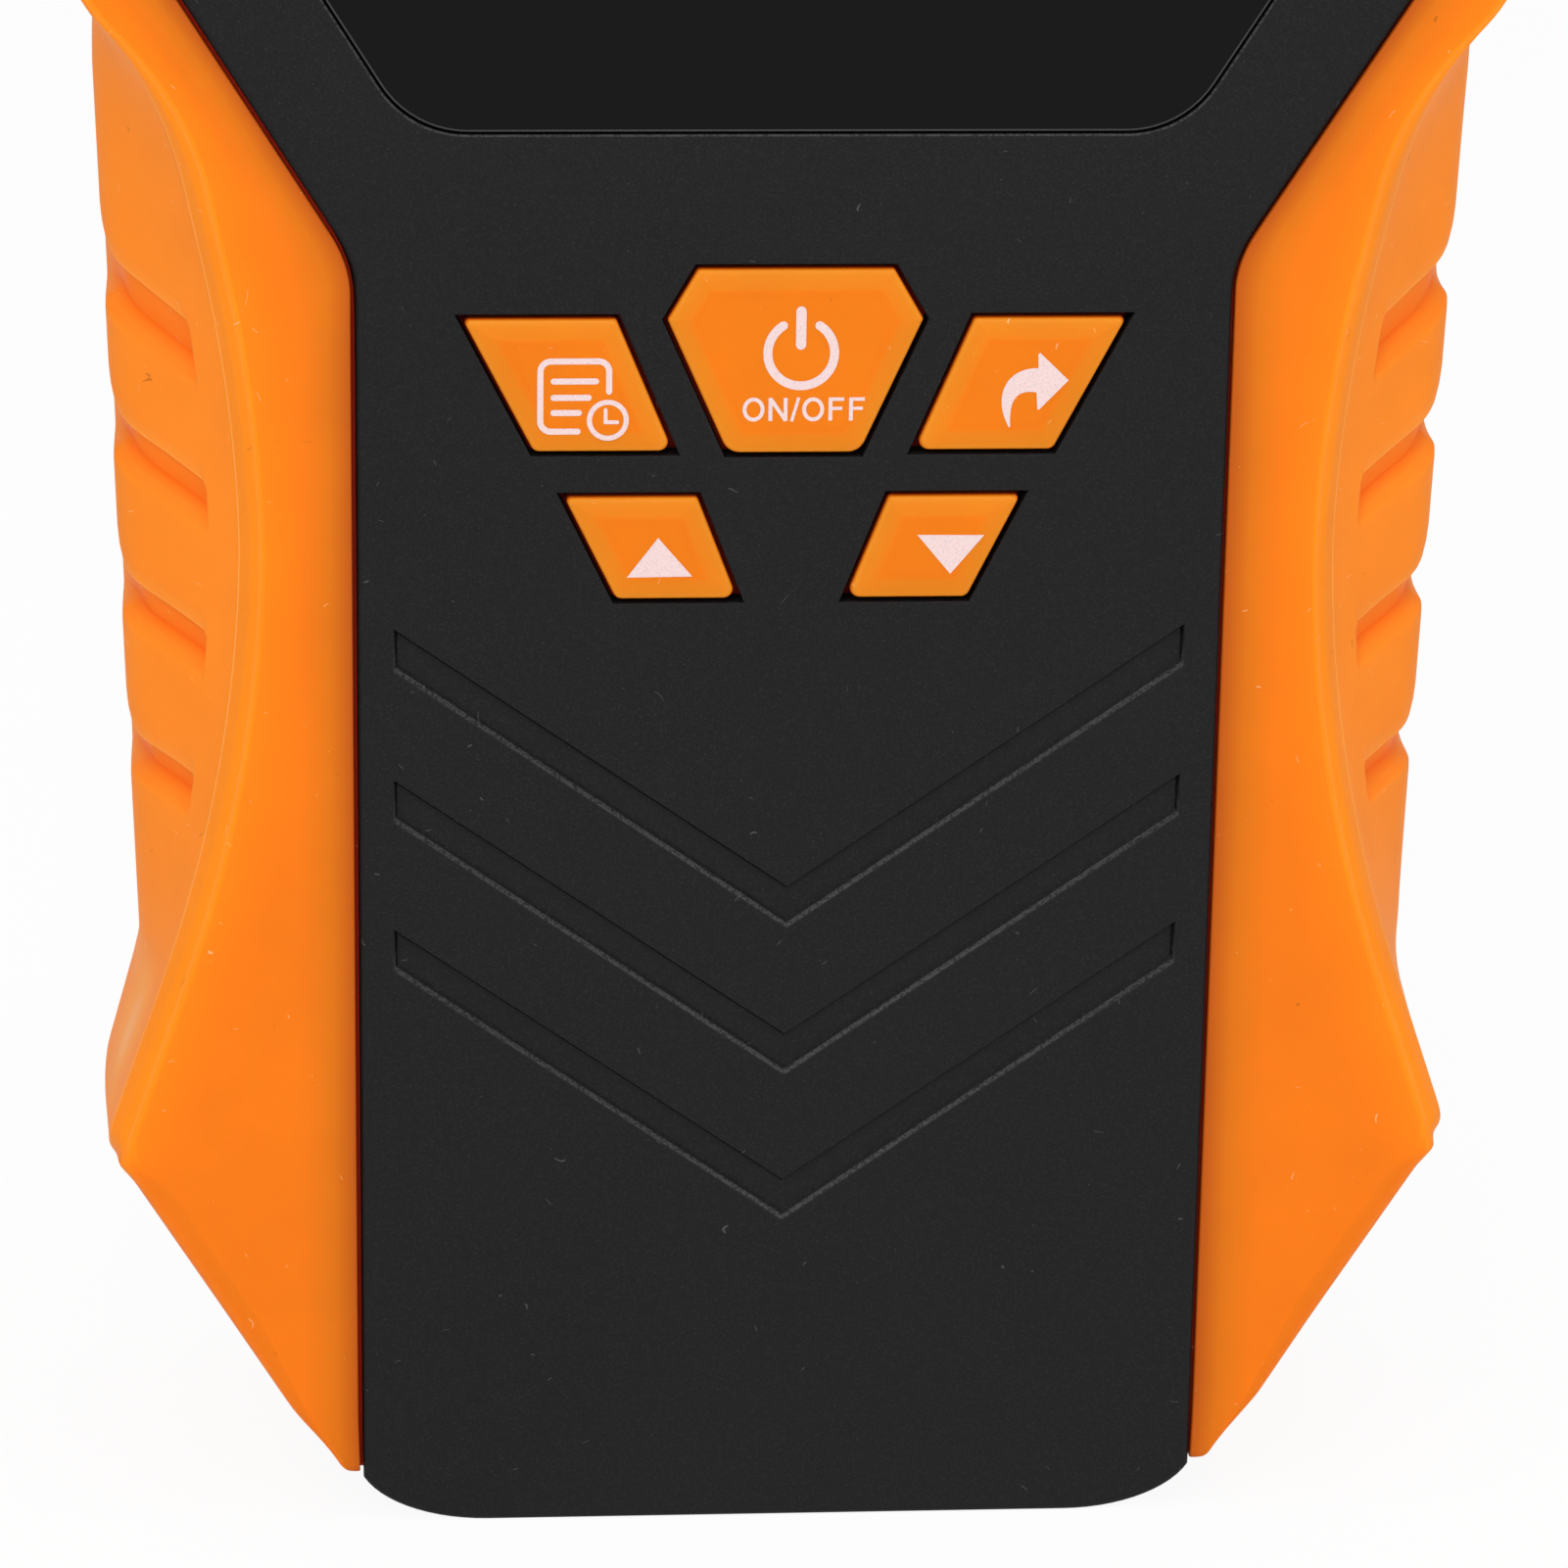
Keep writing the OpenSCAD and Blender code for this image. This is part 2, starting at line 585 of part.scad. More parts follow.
// The front band's rounded edge before the ridge: [distance before it, depth, share of the grooves' drop].
band_edge = [[1.4, 0, 0.7], [0.45, 0.25, 1], [0, 0.9, 1]];
soft_w = 6;                             // a grip narrower than this has a flatter front
pad_steps = 6;
groove_reach = 0.3;                     // share of the pad, from its inner edge, that stays uncut
groove_end = 0.3;                       // share of a groove's depth left on the widest line
// Behind the widest line: [share of the grip's width drawn in, depth].
rear_roll = [[0.01, side_d + 3], [0.02, side_d + 7], [0.1, rebate_d], [0.27, body_t - 3.5],
    [0.5, body_t - 1.2], [0.7, body_t - 0.1]];
skew_low = 36;                          // the drop of the grooves fades out between these heights
skew_high = 92;
function skew(z) = groove_skew * max(0, min(1, (z - skew_low) / (groove_low + groove_h - skew_low),
    (skew_high - z) / (skew_high - groove_z - groove_h)));

// Places, in X and Z, of the ring of a grip that starts at the height z. The outlines are taken at
// each point's own height, which drops with the grooves between the panel and the widest line.
function ring_point(z, share, inward, depth) = let (
        h = z - skew(z) * share, c = side_x(h) - panel_x(h), soft = min(1, c / soft_w))
    [edge_x(h) - inward * soft, depth * soft, h];
function pad_point(z, u) = let (
        h = z - skew(z) * (1 - u), s = side_x(h), q = pad_x(h),
        d = pad_d * min(1, (s - panel_x(h)) / soft_w),
        cut = u < groove_reach ? 0 : groove_cut(z) * (u < 1 ? 1 : groove_end))
    [q + (s - q) * sin(90 * u) - cut, d + (side_d - d) * u, h];
function grip_ring(z) = let (s = side_x(z), c = s - panel_x(z)) concat(
    [[panel_x(z) + fit_gap, 0, z]],
    [for (e = band_edge) ring_point(z, e[2], e[0], e[1])],
    [for (i = [0 : pad_steps]) pad_point(z, i / pad_steps)],
    [for (r = rear_roll) [s - r[0] * c, r[1], z]],
    core_path(z));
function core_path(z) = [for (k = [4 : -1 : 0]) let (x = step_x_at(k, z) + fit_gap,
        front = k == 0 ? 0 : steps[k][0] + (steps[k][2] > steps[k - 1][2] ? -fit_gap : fit_gap),
        rear = k == 4 ? body_t : steps[k][1] + (steps[k][2] < steps[k + 1][2] ? -fit_gap : fit_gap))
    each k == 0 ? [[x, rear, z]] : [[x, rear, z], [x, front, z]]];

module grip() color(orange) {
    zs = [for (z = heights) if (z >= fade_z && z <= total_h - fade_z) z];
    skin([for (z = zs) [for (p = grip_ring(z)) [p[0], front_y + p[1], p[2]]]]);
}

module left_grip() mirror([1, 0, 0]) grip();
module right_grip() grip();

// ---- keys ----

// Outline of a key drawn in by "inset", at the depth d.
function key_ring(pts, inset, d) = [for (p = rounded(grown(pts, -inset), key_r)) [p[0], front_y + d, p[1]]];
module key(pts) color(orange) {
    spot = middle(pts);
    skin([key_ring(pts, 0, flange_d + flange_t), key_ring(pts, 0, key_bevel * 0.6 - key_proud),
        key_ring(pts, key_bevel * 0.3, key_bevel * 0.2 - key_proud), key_ring(pts, key_bevel, -key_proud)]);
    slab(flange_d, flange_d + flange_t) polygon(rounded(grown(pts, flange_w), key_r));
    bar(spot, plunger_r, flange_d + flange_t - eps, plunger_end);
}

module power_key() key(power_outline);
module list_key() key(list_outline);
module back_key() key(flipped(list_outline));
module up_key() key(up_outline);
module down_key() key(flipped(up_outline));

module keypad_mat() color(orange) difference() {
    slab(board_d - mat_t, board_d) polygon(rounded(rect(2 * (menu_x + mat_edge - 1),
        power_z - step_z + step_h + 2 * mat_edge, step_z - step_h - mat_edge), key_r));
    for (pts = key_outlines) bar(middle(pts), dome_r + dome_gap, board_d - mat_t - eps, board_d + eps);
}

module switch_domes() color(metal) for (pts = key_outlines)
    bar(middle(pts), dome_r, board_d - dome_h, board_d);

// ---- lens and display ----

module display_lens() color(smoke) slab(lens_rim, lens_rear) polygon(rounded(lens_outline, lens_r));

module ring_frame(grow, band, d0, d1) slab(d0, d1) difference() {
    polygon(grown(rect(lcd_w, lcd_h, lcd_z), grow));
    polygon(grown(rect(lcd_w, lcd_h, lcd_z), grow - band));
}

module lens_gasket() color(foam_grey) intersection() {
    ring_frame(frame_gap + bezel_t, gasket_w, lens_rear, lcd_d);
    slab(lens_rear - eps, lcd_d + eps) polygon(rounded(grown(lens_outline, -ledge - lens_gap), lens_r - ledge));
}
module lcd_glass() color(smoke) slab(lcd_d, lcd_d + lcd_t) polygon(rect(lcd_w, lcd_h, lcd_z));
module lcd_bezel() color(metal) difference() {
    ring_frame(frame_gap + bezel_t, bezel_t, lcd_d, board_d);
    slot_x = flex_w / 2 + flex_gap;
    block(-slot_x, slot_x, lcd_d + lcd_t, light_d, lcd_z - 2 * bezel_t, lcd_z + eps);
}
module backlight() color("white") slab(light_d, board_d - light_gap) polygon(rect(lcd_w, lcd_h, lcd_z));

flex_w = 28;
flex_t = 0.2;
flex_in = 3;                            // length of the flex under the display glass
flex_drop = 4;                          // distance from the display glass to the flex's turn
flex_gap = 1;                           // gap beside the flex in the frame's slot
module display_flex() color(copper) {
    low = lcd_z - bezel_t - flex_drop;
    front = lcd_d + lcd_t + (flex_layer - flex_t) / 2;
    block(-flex_w / 2, flex_w / 2, front, front + flex_t, low, lcd_z + flex_in);
    block(-flex_w / 2, flex_w / 2, front, board_d, low, low + flex_t);
}

// ---- boards ----

module main_board() color(board_green) difference() {
    top = total_h - board_top;
    zs = concat([board_z], [for (z = heights) if (z > board_z && z < top) z], [top]);
    right = [for (z = zs) [step_x_at(1, z) - wall - board_gap, z]];
    left = [for (i = [len(right) - 1 : -1 : 0]) [-right[i][0], right[i][1]]];
    slab(board_d, board_rear) polygon(concat(right, left));
    both_sides() for (p = case_spots) bar(p, boss_r + board_gap, board_d - eps, board_rear + eps);
    both_sides() for (p = post_spots) bar(p, pin_r + hole_gap, board_d - eps, board_rear + eps);
}

module control_chip() color("dimgray") {
    chip_w = 12;
    chip_t = 1.4;
    block(-chip_w / 2, chip_w / 2, board_rear, board_rear + chip_t, chip_z, chip_z + chip_w);
}

module board_parts() color("dimgray") {
    part_w = 5;
    part_t = 1.2;
    part_x = 12;
    part_pitch = 8;
    for (x = [-part_x, part_x], z = [parts_z, parts_z + part_pitch])
        block(x - part_w / 2, x + part_w / 2, board_rear, board_rear + part_t, z, z + part_w / 2);
}

module buzzer() color(black) difference() {
    sound_r = 1;
    bar(buzzer_at, buzzer_r, board_rear, board_rear + buzzer_h);
    bar(buzzer_at, sound_r, board_rear + buzzer_h / 2, board_rear + buzzer_h + eps);
}

module board_screws() color(metal) both_sides() for (p = post_spots) {
    bar(p, pin_r, post_tip_d, board_rear + eps);
    bar(p, 2 * pin_r, board_rear, board_rear + pin_r);
}

module sensor_board() color(board_green) difference() {
    slab(sensor_d, sensor_rear) polygon(rect(sensor_w, sensor_h, sensor_z));
    both_sides() for (p = stake_spots) bar(p, stake_r + board_gap / 2, sensor_d - eps, sensor_rear + eps);
}

module sensor_plates() color(copper) {
    plate_w = 10;
    plate_margin = 7;
    plate_pitch = 20;
    for (x = [-plate_pitch, 0, plate_pitch]) block(x - plate_w / 2, x + plate_w / 2, sensor_rear,
        sensor_rear + copper_t, sensor_z + plate_margin, sensor_z + sensor_h - plate_margin);
}

module metal_coil() color(copper) difference() {
    bar([0, coil_z], coil_r, sensor_d - coil_t, sensor_d);
    bar([0, coil_z], coil_r - coil_band, sensor_d - coil_t - eps, sensor_d + eps);
}

module ribbon_sockets() color("dimgray") {
    z0 = coil_z - ribbon_w / 2 - socket_edge;
    z1 = coil_z + ribbon_w / 2 + socket_edge;
    block(ribbon_x - socket_t / 2, ribbon_x + socket_t / 2, board_rear, board_rear + socket_h, z0, z1);
    block(ribbon_x - socket_t / 2, ribbon_x + socket_t / 2, sensor_d - socket_h, sensor_d, z0, z1);
}

module board_ribbon() color("lightgray") block(ribbon_x - ribbon_t / 2, ribbon_x + ribbon_t / 2,
    board_rear + socket_h, sensor_d - socket_h, coil_z - ribbon_w / 2, coil_z + ribbon_w / 2);

// ---- battery ----

module battery_door() color(black) {
    x = door_x - door_gap;
    z0 = bay_z - door_ledge + door_gap;
    z1 = bay_top + door_ledge - door_gap;
    slab(door_d, body_t) polygon(rounded(rect(2 * x, z1 - z0, z0), key_r));
    ridge_w = 1;
    ridge_pitch = 2.4;
    first = z1 - 2 * ridge_pitch;
    for (i = [0 : ridge_count - 1]) block(-bay_x / 2, bay_x / 2, body_t - eps, body_t + ridge_h,
        first - i * ridge_pitch, first - i * ridge_pitch + ridge_w);
}

module door_foam() color(foam_grey) block(-battery_w / 3, battery_w / 3, door_d - foam_t, door_d,
    bay_z + battery_h / 4, bay_z + battery_h * 3 / 4);

module battery() color("silver") block(-battery_w / 2, battery_w / 2, battery_front, battery_rear,
    bay_z + battery_gap, bay_z + battery_gap + battery_h);

module battery_studs() color(metal) for (x = [-stud_x, stud_x])
    translate([x, front_y + battery_y, bay_z + battery_gap + battery_h]) cylinder(r = stud_r, h = stud_h);

module battery_snap() color(black) difference() {
    snap_w = 25;
    snap_t = 12;
    z0 = bay_z + battery_gap + battery_h;
    block(-snap_w / 2, snap_w / 2, battery_y - snap_t / 2, battery_y + snap_t / 2, z0, snap_top);
    for (x = [-stud_x, stud_x]) translate([x, front_y + battery_y, z0 - eps])
        cylinder(r = stud_r + bore_gap, h = stud_h + seat_gap);
}

module battery_leads() color("firebrick") for (x = [-lead_x, lead_x]) {
    translate([x, front_y + battery_y, snap_top]) cylinder(r = lead_r, h = lead_z - snap_top);
    translate([x, front_y + battery_y, lead_z]) sphere(r = lead_r);
    bar([x, lead_z], lead_r, board_rear, battery_y);
}

// ---- fasteners and pads ----

module case_screws() color(metal) both_sides() for (p = case_spots) difference() {
    union() {
        bar(p, screw_r, screw_tip_d, seat_d + eps);
        bar(p, screw_head_r, seat_d, seat_d + screw_head_h);
    }
    slot_w = 0.6;
    slot_l = 2.8;
    slot_deep = 0.8;
    for (turn = [0, 90]) translate([p[0], front_y + seat_d + screw_head_h, p[1]]) rotate([0, turn, 0])
        cube([slot_l, 2 * slot_deep, slot_w], center = true);
}

// Glide pads, right half: [distance from the middle, lower end, length].
low_glide = [panel_low_w / 2 - boss_in - boss_r, 26, 30];
head_glide = [panel_head_w / 2 - 12, head_z + 12.2, 34];
module glide_pads() color(foam_grey) both_sides() for (spot = [low_glide, head_glide])
    translate([spot[0], 0, 0]) slab(body_t, body_t + glide_h)
        polygon(rounded(rect(glide_w, spot[2], spot[1]), glide_w / 2 - hole_gap));

front_cover();
display_lens();
lens_gasket();
rear_shell();
left_grip();
right_grip();
power_key();
list_key();
back_key();
up_key();
down_key();
keypad_mat();
switch_domes();
main_board();
control_chip();
board_parts();
buzzer();
board_screws();
lcd_glass();
lcd_bezel();
backlight();
display_flex();
sensor_board();
sensor_plates();
metal_coil();
ribbon_sockets();
board_ribbon();
battery_door();
door_foam();
battery();
battery_studs();
battery_snap();
battery_leads();
case_screws();
glide_pads();
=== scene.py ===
"""Looks of a hand-held stud finder with a display, five keys and two moulded side grips.

Shapes are worked out in millimetres: x to the right, z upwards from the chin, and "depth" from the
front face of the panel towards the wall side. They become metres when a mesh is made of them.
"""

import json
import logging
import math
from dataclasses import dataclass, field, replace
from enum import Enum

import bmesh
import bpy
import numpy as np
from mathutils import Matrix, Vector
from mathutils.geometry import delaunay_2d_cdt


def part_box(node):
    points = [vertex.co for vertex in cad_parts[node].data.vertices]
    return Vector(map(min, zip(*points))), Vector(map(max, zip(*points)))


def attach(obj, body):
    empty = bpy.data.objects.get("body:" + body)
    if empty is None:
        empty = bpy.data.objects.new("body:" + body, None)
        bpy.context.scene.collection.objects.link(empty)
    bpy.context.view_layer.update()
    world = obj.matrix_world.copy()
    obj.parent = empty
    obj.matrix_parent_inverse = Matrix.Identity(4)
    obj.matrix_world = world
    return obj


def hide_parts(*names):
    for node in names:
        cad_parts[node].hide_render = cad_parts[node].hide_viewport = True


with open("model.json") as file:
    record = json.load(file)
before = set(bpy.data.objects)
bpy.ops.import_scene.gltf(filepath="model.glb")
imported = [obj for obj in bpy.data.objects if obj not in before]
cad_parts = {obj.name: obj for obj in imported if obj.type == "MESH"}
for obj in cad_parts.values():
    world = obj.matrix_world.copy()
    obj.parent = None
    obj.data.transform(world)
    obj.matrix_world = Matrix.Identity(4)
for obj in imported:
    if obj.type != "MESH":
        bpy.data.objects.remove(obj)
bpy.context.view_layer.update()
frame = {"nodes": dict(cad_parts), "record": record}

LOG = logging.getLogger("scene")
MM = 0.001
FRONT_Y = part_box("front_cover")[0].y / MM
TOTAL_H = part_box("front_cover")[1].z / MM
MERGE_MM = 0.002
JOIN_MM = 0.0001
FLAT_DEG = 0.4
EDGE_DEG = 35.0


class Slot(Enum):
    """The record's material slots."""

    SHELL = "black_shell"
    GRIP = "orange_rubber"
    KEY = "key_rubber"
    LENS = "smoked_lens"
    GLASS = "display_glass"
    WHITE = "white_plastic"
    BOARD = "circuit_board"
    CHIP = "chip_plastic"
    COPPER = "copper"
    STEEL = "steel"
    FOAM = "foam"
    CAN = "battery_can"
    LEAD = "lead_sleeve"


# ---- plane outlines and surfaces ----


def bend(z: np.ndarray, at: float, radius: float) -> np.ndarray:
    """Distance gained past a bend, eased over a radius on both sides by a parabola.

    Args:
        z: heights.
        at: height of the bend.
        radius: half height of the eased stretch.

    Returns:
        0 before the bend, the height past it beyond, and a parabola between.
    """
    eased = (z - at + radius) ** 2 / (4 * radius)
    return np.where(z <= at - radius, 0.0, np.where(z >= at + radius, z - at, eased))


def corner(away: np.ndarray, radius: float) -> np.ndarray:
    """How far a round corner draws an edge in.

    Args:
        away: distances from the end of the edge.
        radius: radius of the corner's circle.

    Returns:
        The circle's distance from the edge, 0 past its start.
    """
    along = np.clip(radius - away, 0, radius)
    return radius - np.sqrt(radius**2 - along**2)


def ease(value: np.ndarray, low: float, high: float) -> np.ndarray:
    """Smooth step: 3t squared minus 2t cubed, with t running from 0 at low to 1 at high."""
    t = np.clip((value - low) / (high - low), 0, 1)
    return t * t * (3 - 2 * t)


def offset_loop(loop: np.ndarray, distance: float | np.ndarray) -> np.ndarray:
    """Moves the sides of an anticlockwise outline outwards.

    Each new corner is where the two moved lines beside it meet: the solution of two equations,
    corner shift times side normal = distance of that side.

    Args:
        loop: corners, one row each.
        distance: one distance, or one for each side, the side that starts at a corner.

    Returns:
        The moved corners.
    """
    side = np.roll(loop, -1, axis=0) - loop
    length = np.maximum(np.linalg.norm(side, axis=1, keepdims=True), 1e-9)
    after = np.stack([side[:, 1], -side[:, 0]], axis=1) / length
    before = np.roll(after, 1, axis=0)
    far = np.broadcast_to(distance, len(loop)).astype(float)
    near = np.roll(far, 1)
    det = before[:, 0] * after[:, 1] - before[:, 1] * after[:, 0]
    straight = np.abs(det) < 1e-5
    det = np.where(straight, 1.0, det)
    meet = np.stack([near * after[:, 1] - far * before[:, 1],
                     before[:, 0] * far - after[:, 0] * near], axis=1)
    shift = np.where(straight[:, None], after * far[:, None], meet / det[:, None])
    return loop + shift


def round_corners(loop: np.ndarray, radius: float | np.ndarray, steps: int = 6) -> np.ndarray:
    """Rounds a convex anticlockwise outline with arcs about the corners of the outline moved inwards.

    Args:
        loop: corners, one row each.
        radius: radius of the arcs, one for all corners or one each.
        steps: straight pieces in an arc.

    Returns:
        steps + 1 points for each corner.
    """
    radius = np.broadcast_to(radius, len(loop)).astype(float)[:, None]
    centre = loop + (offset_loop(loop, -1.0) - loop) * radius
    side = np.roll(loop, -1, axis=0) - loop
    out = np.arctan2(-side[:, 0], side[:, 1])
    start = np.roll(out, 1)
    turn = np.mod(out - start, 2 * np.pi)
    angle = start[:, None] + turn[:, None] * np.linspace(0, 1, steps + 1)
    ring = np.stack([np.cos(angle), np.sin(angle)], axis=2) * radius[:, None]
    return (centre[:, None, :] + ring).reshape(-1, 2)


def inside(points: np.ndarray, loop: np.ndarray) -> np.ndarray:
    """Even-odd test: a point is inside if a line to its right crosses the outline an odd number of times.

    Args:
        points: plane points, one row each.
        loop: the outline's corners.

    Returns:
        True for each point inside.
    """
    a = loop
    b = np.roll(loop, -1, axis=0)
    x, z = points[:, :1], points[:, 1:]
    spans = (a[:, 1] > z) != (b[:, 1] > z)
    rise = np.where(b[:, 1] == a[:, 1], 1.0, b[:, 1] - a[:, 1])
    cross = a[:, 0] + (z - a[:, 1]) * (b[:, 0] - a[:, 0]) / rise
    return (spans & (x < cross)).sum(axis=1) % 2 == 1


def fill(outer: list[np.ndarray], holes: list[np.ndarray]) -> tuple[np.ndarray, np.ndarray]:
    """Triangles inside any of the outer outlines and outside all holes.

    Args:
        outer: outlines of the filled areas, which may overlap.
        holes: outlines that are left open.

    Returns:
        Plane points, and triangles as rows of three indices.
    """
    loops = outer + holes
    starts = np.cumsum([0] + [len(loop) for loop in loops])
    edges = [(s + i, s + (i + 1) % len(loop)) for s, loop in zip(starts, loops) for i in range(len(loop))]
    corners = [Vector(p) for p in np.concatenate(loops)]
    points, _, faces, _, _, _ = delaunay_2d_cdt(corners, edges, [], 0, JOIN_MM)
    flat = np.array([tuple(p) for p in points])
    triangles = np.array(faces)
    centre = flat[triangles].mean(axis=1)
    kept = np.any([inside(centre, loop) for loop in outer], axis=0)
    for loop in holes:
        kept &= ~inside(centre, loop)
    return flat, triangles[kept]


def at_depth(loop: np.ndarray, depth: float) -> np.ndarray:
    """Lifts plane points (x, z) to rows of x, depth, z."""
    return np.stack([loop[:, 0], np.full(len(loop), depth), loop[:, 1]], axis=1)


def rim(loop: np.ndarray, profile: list[tuple[float, float]]) -> np.ndarray:
    """Carries a profile round an outline.

    Args:
        loop: anticlockwise outline.
        profile: pairs of the distance outwards from the outline and the depth.

    Returns:
        One ring of points for each pair: rows, points, (x, depth, z).
    """
    return np.stack([at_depth(offset_loop(loop, out), depth) for out, depth in profile])


def by_ring(values: list[float], rings: np.ndarray) -> np.ndarray:
    """One shade for each ring, repeated for all its points."""
    return np.repeat(np.array(values)[:, None], rings.shape[1], axis=1)


@dataclass
class Surface:
    """Points (x, depth, z) in millimetres and faces, gathered until they become a piece."""

    points: list[np.ndarray] = field(default_factory=list)
    faces: list[np.ndarray] = field(default_factory=list)
    shade: list[np.ndarray] = field(default_factory=list)
    sunk: list[np.ndarray] = field(default_factory=list)
    count: int = 0

    def add(self, points: np.ndarray, faces: np.ndarray, shade: np.ndarray | float = 0.5,
            sunk: np.ndarray | float = 0.0) -> None:
        """Adds points and faces.

        Args:
            points: rows of x, depth, z.
            faces: rows of indices into these points.
            shade: the first value that the finish reads, one for all points or one each.
            sunk: the second value that the finish reads.
        """
        self.points.append(points)
        self.faces.append(faces + self.count)
        self.shade.append(np.broadcast_to(shade, len(points)).astype(float))
        self.sunk.append(np.broadcast_to(sunk, len(points)).astype(float))
        self.count += len(points)

    def grid(self, rows: np.ndarray, shade: np.ndarray | float = 0.5, sunk: np.ndarray | float = 0.0) -> None:
        """Adds four-sided faces between neighbours in a grid of points whose last column joins the first.

        Args:
            rows: points as rows, columns, (x, depth, z).
            shade: one value, or one for each point of the grid.
            sunk: one value, or one for each point of the grid.
        """
        n_rows, n_cols = rows.shape[:2]
        index = np.arange(n_rows * n_cols).reshape(n_rows, n_cols)
        index = np.concatenate([index, index[:, :1]], axis=1)
        quads = np.stack([index[:-1, :-1], index[:-1, 1:], index[1:, 1:], index[1:, :-1]], axis=2)
        values = [v if np.isscalar(v) else v.reshape(-1) for v in (shade, sunk)]
        self.add(rows.reshape(-1, 3), quads.reshape(-1, 4), *values)

    def cap(self, outer: list[np.ndarray], holes: list[np.ndarray], depth: float, shade: float = 0.5) -> None:
        """Adds a flat area at a depth, inside the outer outlines and outside the holes."""
        flat, triangles = fill(outer, holes)
        self.add(at_depth(flat, depth), triangles, shade)

    def mirrored(self) -> "Surface":
        """The same surface turned left to right.

        Returns:
            A surface whose points have the opposite x.
        """
        flip = np.array([-1, 1, 1])
        points = [p * flip for p in self.points]
        return Surface(points, list(self.faces), list(self.shade), list(self.sunk), self.count)

    def piece(self, name: str, body: str, slot: Slot, finish: bpy.types.Material,
              replaced: tuple[str, ...] = (), sharp: float = 38) -> bpy.types.Object:
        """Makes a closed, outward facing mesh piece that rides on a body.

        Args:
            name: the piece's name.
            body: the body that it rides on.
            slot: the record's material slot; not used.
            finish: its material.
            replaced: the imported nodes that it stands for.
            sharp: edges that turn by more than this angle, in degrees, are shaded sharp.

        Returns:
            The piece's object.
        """
        points = np.concatenate(self.points) + np.array([0, FRONT_Y, 0])
        faces = [face for block in self.faces for face in block.tolist()]
        mesh = bpy.data.meshes.new(name)
        mesh.from_pydata(points.tolist(), [], faces)
        for title, values in (("shade", self.shade), ("sunk", self.sunk)):
            mesh.attributes.new(title, "FLOAT", "POINT").data.foreach_set("value", np.concatenate(values))
        work = bmesh.new()
        work.from_mesh(mesh)
        bmesh.ops.remove_doubles(work, verts=work.verts, dist=MERGE_MM)
        bmesh.ops.dissolve_degenerate(work, edges=work.edges, dist=MERGE_MM / 2)
        bmesh.ops.recalc_face_normals(work, faces=work.faces)
        work.to_mesh(mesh)
        work.free()
        mesh.transform(Matrix.Scale(MM, 4))
        LOG.info("%s: %d points", name, len(mesh.vertices))
        return dressed(name, mesh, body, finish, replaced, sharp)


def dressed(name: str, mesh: bpy.types.Mesh, body: str, finish: bpy.types.Material,
            replaced: tuple[str, ...], sharp: float) -> bpy.types.Object:
    """Makes an object at the origin of a mesh, smooth but for its sharp edges, that rides on a body.

    Args:
        name: the object's name.
        mesh: its mesh, in metres.
        body: the body that it rides on.
        finish: its material.
        replaced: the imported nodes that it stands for.
        sharp: edges that turn by more than this angle, in degrees, are shaded sharp.

    Returns:
        The object.
    """
    mesh.shade_smooth()
    mesh.set_sharp_from_angle(angle=math.radians(sharp))
    mesh.materials.clear()
    mesh.materials.append(finish)
    made = bpy.data.objects.new(name, mesh)
    bpy.context.scene.collection.objects.link(made)
    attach(made, body)
    if replaced:
        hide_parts(*replaced)
    return made


def softened(node: str, body: str, finish: bpy.types.Material, width: float,
             steps: int = 2, shade: float = 0.5) -> bpy.types.Object:
    """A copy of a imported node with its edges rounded, which stands for the node.

    Args:
        node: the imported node's name.
        body: the body that it rides on.
        finish: its material.
        width: width of the rounded edges, in millimetres.
        steps: straight pieces across a rounded edge.
        shade: the value that the finish reads.

    Returns:
        The copy's object.
    """
    mesh = frame["nodes"][node].data.copy()
    mesh.name = node + "_soft"
    work = bmesh.new()
    work.from_mesh(mesh)
    bmesh.ops.remove_doubles(work, verts=work.verts, dist=MERGE_MM * MM)
    flat = math.radians(FLAT_DEG)
    bmesh.ops.dissolve_limit(work, angle_limit=flat, verts=work.verts, edges=work.edges)
    bmesh.ops.recalc_face_normals(work, faces=work.faces)
    work.to_mesh(mesh)
    work.free()
    values = np.full(len(mesh.vertices), shade)
    mesh.attributes.new("shade", "FLOAT", "POINT").data.foreach_set("value", values)
    made = dressed(node + "_soft", mesh, body, finish, (node,), EDGE_DEG)
    bevel = made.modifiers.new("rounded", "BEVEL")
    bevel.width = width * MM
    bevel.segments = steps
    bevel.limit_method = "ANGLE"
    bevel.angle_limit = math.radians(EDGE_DEG)
    bevel.harden_normals = True
    LOG.info("%s: rounded edges", made.name)
    return made


# ---- finishes ----


